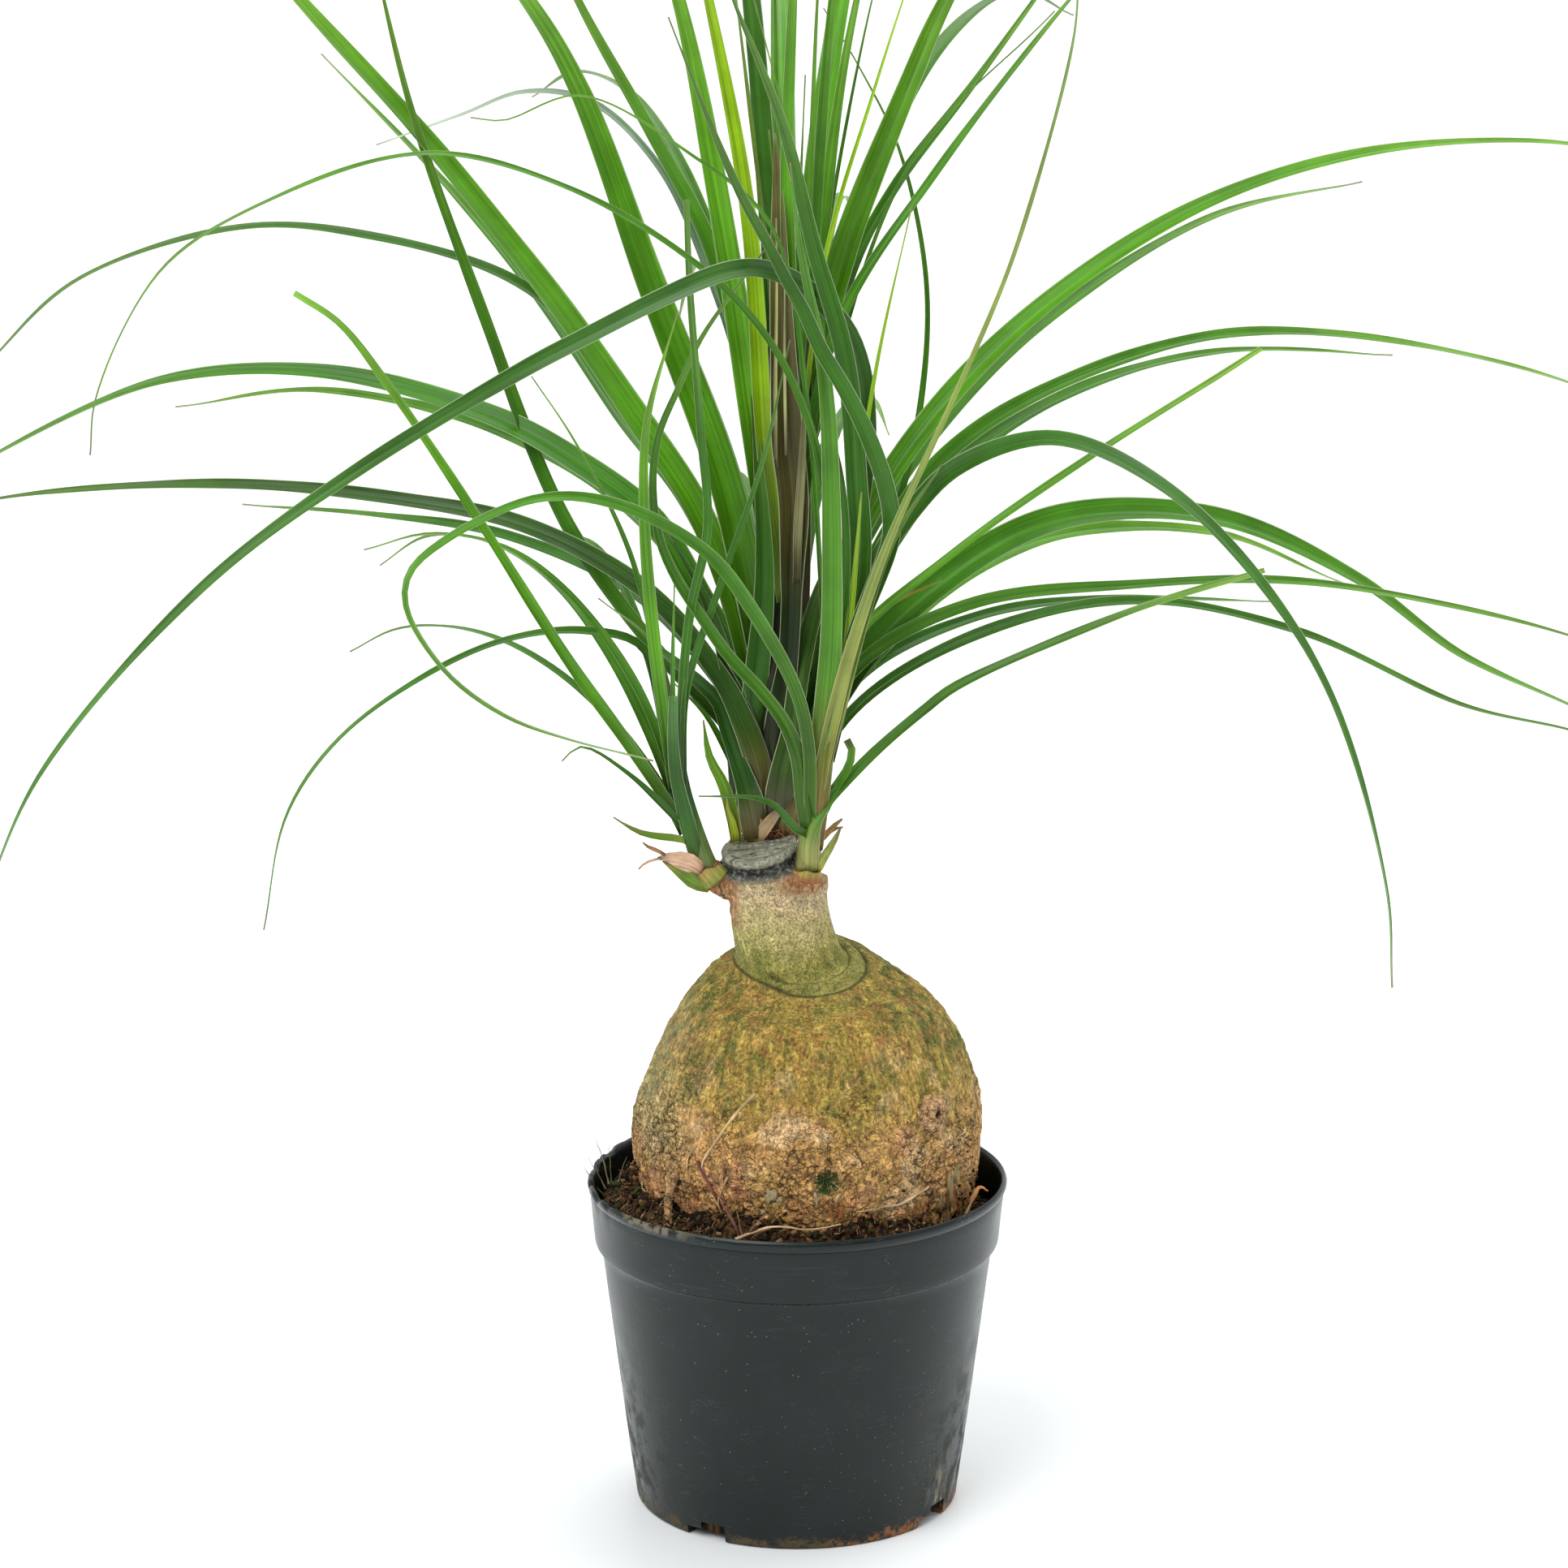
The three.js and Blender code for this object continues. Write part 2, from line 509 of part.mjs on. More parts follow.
function rightShoot() {
  const core = stem(places([[4.4, -7.8, 216], [5, -8.2, 222], [7, -8.5, 238], [9.5, -9, 262],
    [11.5, -10, 290], [13, -12, 340]]), [5.3, 5.4, 4.8, 4.4, 3, 1.8], SHOOT_SIDES);
  const leaves = [
    // the leaf that folds over in front and hangs far out to the left
    leaf(9.4, [10, 25, 45], [[14, 10, -11], [25, 50, -16], [33, 82, -24], [30, 100, -30], [22, 119, -38],
      [12, 140, -46], [5, 155, -53], [-1, 164.5, -60], [-9, 167, -67], [-34, 160, -84], [-64, 147, -101],
      [-87, 135, -113], [-138, 104, -133], [-191, 64, -144], [-244, 4, -144], [-266, -46, -138]], { side: -1 }),
    leaf(6.4, [-20, 10, 30], [[14, 12, -9], [29, 60, -13], [35, 84, -16], [32, 100, -18], [10, 143, -25],
      [-11, 191, -35], [-38, 252, -52]], { side: -1 }),
    leaf(7.4, [0, 0, 20], [[15, 15, -8], [25, 71, -10], [24, 98, -12], [20, 140, -15], [10, 175, -18],
      [-1, 218, -24], [-16, 256, -31], [-22, 272, -34]], { side: -1 }),
    leaf(1.6, [0, 0, 0], [[14, 78, -11], [14, 130, -13], [9, 180, -15], [-2, 228, -20],
      [-10, 258, -26]]),
    // thin leaves that arch to the left, one of them a loose loop
    leaf(3, [10, 40, 40], [[14, 10, -9], [16, 71, -12], [14, 92, -14], [8, 119, -18], [-4, 144, -24],
      [-26, 168, -34], [-71, 196, -53], [-116, 207, -70], [-164, 194, -86], [-204, 170, -96],
      [-226, 127, -101], [-228, 108, -102]]),
    leaf(1.9, [0, 30, 30], [[13, 50, -10], [8, 120, -16], [-4, 183, -27], [-31, 207, -39], [-67, 226, -54],
      [-92, 218, -64], [-103, 219, -68]]),
    leaf(5, [0, 40, 60], [[10, -10, -11], [8, 12, -14], [4, 30, -18], [-10, 56, -28], [-26, 76, -40],
      [-58, 92, -60], [-82, 93, -70], [-111, 80, -80], [-123, 69, -87], [-124, 58, -91], [-111, 37, -103],
      [-92, 23, -110], [-71, 15, -116], [-43, 7.5, -122]]),
    // leaves that rise and lean right
    leaf(9, [0, 20, 30], [[10, -6, -11], [16.5, 23, -14], [22, 44, -16], [33, 76, -18], [56, 127, -25],
      [77, 178, -34], [95, 244, -46], [97, 272, -52]]),
    leaf(4.2, [20, 40, 40], [[8, -14, -7], [17, -6, -5], [33, 14, -1], [57, 32, 2], [110, 55, 6],
      [158, 70, 8]], { cut: true }),
    leaf(9, [0, 35, 60], [[14, 8, -8], [30, 71, -9], [41, 88, -14], [57, 104, -24], [89, 113, -45],
      [126, 96, -72], [158, 64, -95], [180, 28, -110], [198, -36, -121], [200, -67, -123]]),
    leaf(2.1, [0, 0, 0], [[16, 20, -6], [21, 71, -7], [30, 135, -10], [42, 190, -14]]),
    leaf(7, [0, 0, 0], [[12, -10, -11], [16, 31, -14], [16, 71, -16], [14, 132, -20], [5, 178, -25],
      [2, 204, -28]], { side: -1 }),
    leaf(3.4, [10, 10, 10], [[14, 20, -12], [20, 60, -15], [19, 100, -17], [12, 128, -20]], { side: 1 }),
    // small ones near the foot
    leaf(2, [0, 20, 20], [[13, -8, -10], [17, -2, -8], [22, 7, -7], [21, 15, -6]], { side: 1 }),
    leaf(3, [0, 40, 60], [[9, -17, -11], [4, -15, -16], [1, -12, -19], [-4, -7, -23], [-10, -5, -26],
      [-28, -4, -32]]),
    leaf(3.2, [0, 0, 0], [[9, -20, -9], [13, -20, -9.5], [18.5, -13, -9]]),
  ];
  return fuse([core, ...leaves]);
}

// ---------------------------------------------------------- shoot on the left

function leftShoot() {
  const core = stem(places([[-28.8, -4, 212.8], [-36, -5, 221], [-38.5, -5.2, 232],
    [-39.5, -5.5, 252], [-40, -6, 275]]), [4.8, 5.4, 4.2, 3.4, 1.8], SHOOT_SIDES);
  const leaves = [
    leaf(4.6, [10, 40, 40], [[-33, -16, -6], [-36, -10, -8], [-50, 11, -14], [-68, 36, -23], [-98, 82, -37],
      [-131, 132, -51], [-146, 151, -57], [-161, 161, -62]], { cut: true }),
    leaf(3.3, [10, 40, 50], [[-34, -12, -4], [-40, 12, -6], [-51, 36, -10], [-71, 63, -19], [-92, 78, -28],
      [-116, 82, -38], [-138, 77, -46]]),
    leaf(3.3, [10, 45, 50], [[-35, -10, -2], [-39, 10, 0], [-42, 30, 2], [-47, 45, 1], [-66, 50, -8],
      [-92, 47, -22], [-119, 35, -37], [-146, 15, -48], [-163, -10, -54], [-171, -48, -57]]),
    leaf(2.2, [0, 20, 20], [[-36, 0, -6], [-40, 28, -6], [-50, 74, -9], [-68, 111, -16], [-83, 134, -22]]),
    leaf(2.5, [0, 40, 60], [[-33, -15, -7], [-36, -11, -12], [-52, 4, -22], [-67, 12, -31], [-73, 7.5, -35]]),
    leaf(2.2, [0, 20, 20], [[-36, 5, -3], [-38, 31, -3], [-44, 47, -5], [-61, 61, -14]]),
    leaf(3.3, [10, 10, 10], [[-34, -8, -7], [-34, 18, -10], [-31, 55, -14], [-25, 84, -18], [-27, 114, -22],
      [-31, 164, -29], [-32, 192, -33]], { cut: true, side: 1 }),
    leaf(4.6, [0, 0, 10], [[-36, -2, -6], [-40, 26, -9], [-44, 60, -13], [-46, 92, -17], [-45, 119, -21],
      [-35, 155, -28]], { side: 1 }),
    leaf(2, [0, 0, 10], [[-36, 10, -5], [-39, 76, -8], [-42, 90, -9], [-41, 108, -11], [-32, 140, -14],
      [-6, 176, -20]], { side: 1 }),
    leaf(2.6, [0, 0, 10], [[-33, 0, -9], [-32, 31, -11], [-20, 68, -12], [-7, 106, -11],
      [2, 146, -9]], { side: 1 }),
    leaf(4.2, [0, 0, 0], [[-33, -14, -7], [-36, 4, -12], [-36, 29, -16]], { cut: true, side: -1 }),
    leaf(1.6, [0, 20, 20], [[-33, -15, -6], [-39, -17, -10], [-47, -16, -15], [-56, -11, -20]]),
    leaf(1.8, [0, 0, 0], [[-35, 5, -10], [-36.5, 31, -11], [-36, 67, -13]], { side: 1 }),
  ];
  const start = at(-38.5, -4, 236);
  const back = [[134, 190, 60, 104, 4.5], [112, 160, 66, 104, 4], [152, 150, 52, 92, 4]];
  return fuse([core, ...leaves, ...back.map((values) => arching(start, ...values))]);
}

// --------------------------------------------------- dying leaves and scales

function yellowLeaf() {
  return fuse([
    leaf(3.8, [0, 0, 0], [[-15.5, -20, 3], [-17.5, -9, 2], [-21, 2, 1], [-25, 10, 0],
      [-26, 20, 0]], { side: -1 }),
    leaf(2.6, [0, 0, 0], [[-15.5, -20, 3], [-17, -12, 1.6], [-18.5, -8, 1],
      [-19, -4, 0.6]], { side: -1 }),
  ]);
}

// Papery scales: the broad dry feet of old leaves, wrapped part of the way round
// a shoot, between two angles about the line from its foot to its top. grow widens
// a scale on every side, to cut the room for it.
function scale(foot, top, footRadius, topRadius, from, to, grow = 0) {
  const steps = 6;
  const axis = top.clone().sub(foot);
  const up = axis.clone().normalize();
  const right = at(1, 0, 0).addScaledVector(up, -up.x).normalize();
  const back = up.clone().cross(right);
  const widen = THREE.MathUtils.radToDeg(grow / footRadius);
  const rings = [];
  for (let step = 0; step <= steps; step++) {
    const share = step / steps;
    const angle = THREE.MathUtils.degToRad(THREE.MathUtils.lerp(from - widen, to + widen, share));
    const tall = 0.35 + 0.65 * Math.sin(share * Math.PI) ** 0.7;
    const out = right.clone().multiplyScalar(Math.cos(angle)).addScaledVector(back, Math.sin(angle));
    const low = foot.clone().addScaledVector(up, -grow).addScaledVector(out, footRadius - grow);
    const high = foot.clone().addScaledVector(axis, tall).addScaledVector(up, grow);
    high.addScaledVector(out, THREE.MathUtils.lerp(footRadius, topRadius, tall) - grow);
    const wall = out.clone().multiplyScalar(SCALE_THICKNESS + 2 * grow);
    rings.push([low.clone().add(wall), low, high, high.clone().add(wall)]);
  }
  return loft(rings);
}

function mainScale(grow) {
  return scale(at(-8, 12.6, 223), at(-7.4, 12.2, 238), 9.7, 9.9, -128, -22, grow);
}

function leftScale(grow) {
  return scale(at(-30.6, -4.3, 213.6), at(-35.6, -5.6, 221), 5.9, 7.4, 120, 330, grow);
}

function rightScale(grow) {
  return scale(at(4, -7.8, 216.2), at(4.9, -8.2, 221), 5.9, 6.4, 190, 385, grow);
}

// -------------------------------------------------------- litter on the soil

function strand(points, radius) {
  const path = new THREE.CatmullRomCurve3(places(points), false, 'centripetal');
  const steps = points.length;
  const route = Array.from({ length: steps + 1 }, (_, step) => path.getPointAt(step / steps));
  return stem(route, route.map((_, step) => radius * (1 - 0.4 * step / steps)), 4);
}

// Dry straws that stand in a fan between the bulb and the rim, at the front left.
const STRAW_FOOT = [-16.5, -60, 98];
const straws = () => fuse([
  strand([STRAW_FOOT, [-21, -60.4, 112], [-26, -58, 124], [-29, -54, 131]], 0.8),
  strand([STRAW_FOOT, [-20, -60.5, 109], [-24.5, -59, 122]], 0.7),
  strand([STRAW_FOOT, [-15, -61.5, 107], [-12, -62, 113]], 0.7),
]);

// A tuft of fine grass at the left, in front of the chipped stretch of rim.
const GRASS_FOOT = [-61.5, 6, 98];
const grass = () => fuse([
  strand([GRASS_FOOT, [-63, 5, 110], [-65, 4, 119]], 0.7),
  strand([GRASS_FOOT, [-61.5, 6.3, 109], [-61, 6.5, 116]], 0.6),
  strand([GRASS_FOOT, [-63, 8, 109], [-66.5, 9, 121]], 0.6),
]);

// A flake of pale bark that leans between the bulb and the pot, on the right.
function barkFlake() {
  const outline = new THREE.Shape();
  outline.moveTo(-2, 0);
  outline.lineTo(1.6, -0.6);
  outline.quadraticCurveTo(3, 5, 2.2, 10);
  outline.lineTo(0.4, 13);
  outline.quadraticCurveTo(-1.6, 7, -2, 0);
  const flake = new THREE.ExtrudeGeometry(outline, {
    depth: 1,
    bevelEnabled: false,
    curveSegments: 4,
  });
  flake.translate(0, 0, -0.5).rotateX(Math.PI / 2).rotateX(-0.12).rotateY(0.15).rotateZ(0.62);
  flake.translate(44, -45.5, 101);
  return solid(flake);
}

// A sprig of moss on the front of the bulb.
function mossSprig() {
  const heart = at(11.5, -56.45, 119);
  const tips = [[-5, -2, 4], [-1, -2.4, 6.4], [4, -2, 4.4], [7.6, -1, 0.4], [1, -2.4, -3.6],
    [-4, -2.2, -1]];
  return fuse(tips.map(([across, out, up]) => {
    const tip = heart.clone().add(at(across, out, up));
    const path = new THREE.CatmullRomCurve3([heart.clone().add(at(0, -1.2, 0)),
      heart.clone().lerp(tip, 0.5).add(at(0, -1.4, 0)), tip.clone().add(at(0, -0.6, 0))]);
    return blade(path, { width: 2.6, base: 0.5, faceAt: () => at(0, -1, 0.2) });
  }));
}

// ----------------------------------------------------------------- the plant

// What grew as one piece is one body: scraps that a cut leaves loose are dropped.
function onePiece(body) {
  const parts = body.decompose();
  return parts.reduce((best, part) => (part.volume() > best.volume() ? part : best));
}

const woody = caudexBody(0).add(knot());
const cleared = caudexBody(GAP);
const ground = soil();
const raisedGround = ground.translate([0, 0, GAP]);
const leafy = (body, dry) => onePiece(body.subtract(cleared).subtract(dry(GAP)));
const papery = (dry) => onePiece(dry(0).subtract(cleared));
const standing = (body) => onePiece(body.subtract(raisedGround));

const plant = new THREE.Group();
plant.add(meshOf('pot', pot(), PLASTIC));
plant.add(meshOf('soil', ground, EARTH));
plant.add(meshOf('caudex', onePiece(woody), CORK));
plant.add(meshOf('main_crown', leafy(mainCrown(), mainScale), LEAF_DARK));
plant.add(meshOf('right_shoot', leafy(rightShoot(), rightScale), LEAF_RIGHT));
plant.add(meshOf('left_shoot', leafy(leftShoot(), leftScale), LEAF_LEFT));
plant.add(meshOf('main_scale', papery(mainScale), PAPERY));
plant.add(meshOf('right_scale', papery(rightScale), PAPERY));
plant.add(meshOf('left_scale', papery(leftScale), PAPERY));
plant.add(meshOf('yellow_leaf', onePiece(yellowLeaf().subtract(cleared)), LEAF_YELLOW));
plant.add(meshOf('dry_straws', standing(straws()), STRAW));
plant.add(meshOf('grass_tuft', standing(grass()), STRAW));
plant.add(meshOf('bark_flake', standing(barkFlake()), BARK));
plant.add(meshOf('moss_sprig', mossSprig(), MOSS));

export default plant;
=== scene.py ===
# A potted ponytail palm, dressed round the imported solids: fine leaf blades, a corky
# bulb with cracks and moss, crumbly soil and a scratched nursery pot.
# Lengths are worked out in millimetres and turned into metres when a mesh is made.

import math
import random
from functools import reduce
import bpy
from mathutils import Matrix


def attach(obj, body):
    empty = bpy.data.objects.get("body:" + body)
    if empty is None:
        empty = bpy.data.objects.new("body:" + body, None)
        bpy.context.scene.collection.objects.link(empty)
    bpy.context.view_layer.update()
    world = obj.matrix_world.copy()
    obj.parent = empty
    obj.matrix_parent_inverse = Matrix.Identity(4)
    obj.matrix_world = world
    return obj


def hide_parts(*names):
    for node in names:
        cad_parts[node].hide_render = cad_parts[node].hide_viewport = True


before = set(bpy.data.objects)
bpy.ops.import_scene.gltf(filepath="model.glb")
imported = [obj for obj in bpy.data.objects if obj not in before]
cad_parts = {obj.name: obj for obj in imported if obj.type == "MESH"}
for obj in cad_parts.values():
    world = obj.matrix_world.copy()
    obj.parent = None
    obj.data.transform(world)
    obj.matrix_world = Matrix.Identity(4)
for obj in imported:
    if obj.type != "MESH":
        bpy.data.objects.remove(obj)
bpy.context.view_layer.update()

from types import SimpleNamespace

import bmesh
import bpy
import numpy as np
from mathutils import Vector, noise
from mathutils.bvhtree import BVHTree

MM = 0.001

# ------------------------------------------------------------------- dimensions

POT_HEIGHT = 112
POT_RIM_RADIUS = 70
POT_BASE_RADIUS = 54.3
POT_WALL = 1.5
POT_FLOOR = 2
BAND_HEIGHT = 22
BAND_FOOT_RADIUS = 67.6
BODY_TOP_RADIUS = 65.4
CREASE = POT_HEIGHT - BAND_HEIGHT  # the level of the band's foot
POT_SIDES = 288
NOTCH_COUNT = 4
NOTCH_WIDTH = 15
NOTCH_HEIGHT = 6
NOTCH_REACH = 8
FIRST_NOTCH_ANGLE = -0.59  # from the front, to the left

SOIL_LEVEL = 101
SOIL_LUMPS = 2.2
SOIL_GAP = 0.3  # between the soil and the pot's inside

BULB_RADIUS = 57.8
BULB_HEIGHT = 128
BULB_OFFSET = 3.8
NECK_RADIUS = 15.6
NECK_TOP = 214
TRUNK_RADIUS = 12.4
TRUNK_TOP = (-12.6, -2, 226)
TRUNK_LEAN = 0.2
TRUNK_TILT = 0.16

BLADE_THICKNESS = 0.5
CHANNEL = 0.2  # how deep a blade is folded, as a share of its width

# Leaf routes are read as the plant is seen from the front: across and up on a sheet
# that stands square to the line of sight, and then how far back the point is.
EYE = np.array((-4.3, -1500.0, 613.4))
EYE_TILT = 0.24  # radians below level
SHEET_DISTANCE = 1547
FOCAL_PIXELS = 5801
FRAME_PIXELS = 1932
SIGHT = np.array((0, math.cos(EYE_TILT), -math.sin(EYE_TILT)))
SHEET_UP = np.array((0, math.sin(EYE_TILT), math.cos(EYE_TILT)))
RIGHT = np.array((1.0, 0, 0))
UP = np.array((0, 0, 1.0))

rng = random.Random(7)

# ------------------------------------------------------------------ small helpers


def colour(code):
    """A linear colour from an sRGB hex code."""
    parts = [int(code[i:i + 2], 16) / 255 for i in (1, 3, 5)]
    return np.array([p / 12.92 if p < 0.04045 else ((p + 0.055) / 1.055) ** 2.4 for p in parts])


def ramp(value, low, high):
    """0 below low, 1 above high, and smooth between them."""
    share = np.clip((np.asarray(value, float) - low) / (high - low), 0, 1)
    return share * share * (3 - 2 * share)


def blend(a, b, share):
    """a where the share is 0 and b where it is 1. The share may have one value for each row."""
    share = np.asarray(share, float)
    if share.ndim and np.ndim(a) > 0:
        share = share[:, None]
    return np.asarray(a) * (1 - share) + np.asarray(b) * share


def unit(vectors):
    length = np.linalg.norm(vectors, axis=-1, keepdims=True)
    return vectors / np.maximum(length, 1e-12)


def grain(points, size, seed=0.0, octaves=1):
    """Perlin noise, about -1 to 1, at a feature size in millimetres. size may be a triple."""
    spots = np.asarray(points) / np.asarray(size, float) + seed
    total = np.zeros(len(spots))
    for octave in range(octaves):
        step = 2 ** octave
        total += [noise.noise(Vector(spot)) / step for spot in spots * step]
    return total


def jumble(points, size, *seeds):
    """Perlin noise in three directions, with a seed for each."""
    return np.stack([grain(points, size, seed) for seed in seeds], axis=1)


def hump(value, middle, width):
    """1 at the middle, and falling off on both sides of it."""
    return np.exp(-((value - middle) / width) ** 2)


def cells(points, size, seed=0.0):
    """Distance to the nearest seed and to the border between cells, in cell sizes."""
    spots = np.asarray(points) / np.asarray(size, float) + seed
    near = np.empty((len(spots), 2))
    for index, spot in enumerate(spots):
        distances = noise.voronoi(Vector(spot))[0]
        near[index] = distances[0], distances[1] - distances[0]
    return near[:, 0], near[:, 1]


def seen(across, up, back):
    """The point at a depth that the eye sees at a place on the sheet."""
    ray = RIGHT * across + SIGHT * SHEET_DISTANCE + SHEET_UP * up
    return EYE + ray * ((back - EYE[1]) / ray[1])


def pixel_ray(u, v):
    """The direction in which the eye sees a place in the photograph's frame."""
    middle = FRAME_PIXELS / 2
    ray = RIGHT * (u - middle) + SIGHT * FOCAL_PIXELS + SHEET_UP * (middle - v)
    return ray / np.linalg.norm(ray)


def smooth_path(points, spacing):
    """Even stations on a centripetal Catmull-Rom curve through the points."""
    p = np.asarray(points, float)
    q = np.vstack([2 * p[0] - p[1], p, 2 * p[-1] - p[-2]])
    t = np.linspace(0, 1, 24, endpoint=False)[:, None]
    fine = []
    for a, b, c, d in zip(q, q[1:], q[2:], q[3:]):
        before, span, after = (max(np.linalg.norm(n - m) ** 0.5, 1e-4)
                               for m, n in ((a, b), (b, c), (c, d)))
        leave = ((b - a) / before - (c - a) / (before + span) + (c - b) / span) * span
        arrive = ((c - b) / span - (d - b) / (span + after) + (d - c) / after) * span
        fine.append(b + leave * t + (3 * (c - b) - 2 * leave - arrive) * t ** 2
                    + (2 * (b - c) + leave + arrive) * t ** 3)
    fine = np.vstack(fine + [p[-1:]])
    run = np.concatenate([[0], np.cumsum(np.linalg.norm(np.diff(fine, axis=0), axis=1))])
    count = max(4, int(round(run[-1] / spacing)))
    at = np.linspace(0, run[-1], count + 1)
    path = np.stack([np.interp(at, run, fine[:, axis]) for axis in range(3)], axis=1)
    return path, at


def even_steps(share, values):
    """The values at some shares of the way along an evenly spaced list."""
    return np.interp(share, np.linspace(0, 1, len(values)), values)


def tangents(path):
    return unit(np.gradient(path, axis=0))


class Pile:
    """Meshes gathered into one piece, with values kept for every vertex."""

    def __init__(self):
        self.points, self.faces, self.values, self.count = [], [], [], 0

    def add(self, points, faces, **values):
        points = np.asarray(points, float).reshape(-1, 3)
        self.points.append(points)
        self.faces += [[corner + self.count for corner in face] for face in faces]
        self.values.append(values)
        self.count += len(points)

    def build(self, name, skin, slot, *nodes):
        """Makes the piece. A value that some of its meshes lack is 0 there."""
        keys = dict.fromkeys(key for values in self.values for key in values)
        values = {key: np.concatenate([part.get(key, np.zeros(len(points)))
                                       for part, points in zip(self.values, self.points)])
                  for key in keys}
        piece(name, np.vstack(self.points), self.faces, values, skin, slot, *nodes)


def mesh_object(name, points, faces, values=()):
    mesh = bpy.data.meshes.new(name)
    mesh.from_pydata((np.asarray(points) * MM).tolist(), [], faces)
    for key, value in dict(values).items():
        if value.ndim == 2:
            layer = mesh.attributes.new(key, "FLOAT_COLOR", "POINT")
            rgba = np.ones((len(value), 4))
            rgba[:, :3] = value
            layer.data.foreach_set("color", rgba.ravel())
        else:
            layer = mesh.attributes.new(key, "FLOAT", "POINT")
            layer.data.foreach_set("value", value.ravel())
    mesh.polygons.foreach_set("use_smooth", [True] * len(mesh.polygons))
    mesh.update()
    thing = bpy.data.objects.new(name, mesh)
    bpy.context.scene.collection.objects.link(thing)
    return thing


def piece(name, points, faces, values, skin, slot, *nodes):
    """A finished piece of the plant, which stands for the named CAD nodes."""
    thing = mesh_object(name, points, faces, values)
    thing.data.materials.append(skin)
    dress(thing, slot, *nodes)
    return thing


def dress(thing, slot, *nodes):
    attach(thing, "root")
    if nodes:
        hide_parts(*nodes)


def ring_faces(rings, count, first_cap=True, last_cap=True):
    """Quads over rings of points, each with the same count, closed round."""
    faces = []
    for ring in range(rings - 1):
        a, b = ring * count, (ring + 1) * count
        for side in range(count):
            after = (side + 1) % count
            faces.append((a + side, a + after, b + after, b + side))
    last = (rings - 1) * count
    if first_cap:
        faces.append(tuple(range(count - 1, -1, -1)))
    if last_cap:
        faces.append(tuple(last + side for side in range(count)))
    return faces


def tube(path, radii, sides=8):
    """A round stem along a path of points; radii has one entry for each of them."""
    path = np.asarray(path, float)
    along = tangents(path)
    guide = np.where(np.abs(along[:, 1:2]) > 0.94, UP, np.array((0, 1.0, 0)))
    across = unit(np.cross(guide, along))
    third = np.cross(along, across)
    angle = np.arange(sides) / sides * 2 * math.pi
    radii = np.broadcast_to(radii, len(path))
    rings = (path[:, None] + radii[:, None, None]
             * (across[:, None] * np.cos(angle)[None, :, None]
                + third[:, None] * np.sin(angle)[None, :, None]))
    return rings.reshape(-1, 3), ring_faces(len(path), sides)


def turned(profile, sides):
    """A closed turned body. The profile runs from the foot's middle to the top's middle."""
    profile = np.asarray(profile, float)
    inner = profile[1:-1]
    angle = np.arange(sides) / sides * 2 * math.pi
    rings = np.stack([inner[:, 0:1] * np.cos(angle), inner[:, 0:1] * np.sin(angle),
                      np.repeat(inner[:, 1:2], sides, axis=1)], axis=2)
    points = np.vstack([rings.reshape(-1, 3), [[0, 0, profile[0, 1]], [0, 0, profile[-1, 1]]]])
    faces = ring_faces(len(inner), sides, False, False)
    foot, top = len(points) - 2, len(points) - 1
    last = (len(inner) - 1) * sides
    for side in range(sides):
        after = (side + 1) % sides
        faces.append((foot, after, side))
        faces.append((top, last + side, last + after))
    return points, faces


def finer(profile, spacing):
    """More points along the profile's straight runs, at most spacing apart."""
    profile = np.asarray(profile, float)
    out = [profile[0]]
    for a, b in zip(profile, profile[1:]):
        steps = max(1, math.ceil(np.linalg.norm(b - a) / spacing))
        out += [a + (b - a) * (step + 1) / steps for step in range(steps)]
    return np.array(out)


def turn(points, axis, angle):
    """Points turned about a row axis: 0 is X, 1 is Y and 2 is Z."""
    i, j = (axis + 1) % 3, (axis + 2) % 3
    points = np.array(points, float)
    a, b = points[:, i].copy(), points[:, j].copy()
    points[:, i] = a * math.cos(angle) - b * math.sin(angle)
    points[:, j] = a * math.sin(angle) + b * math.cos(angle)
    return points


# --------------------------------------------------------------------- materials


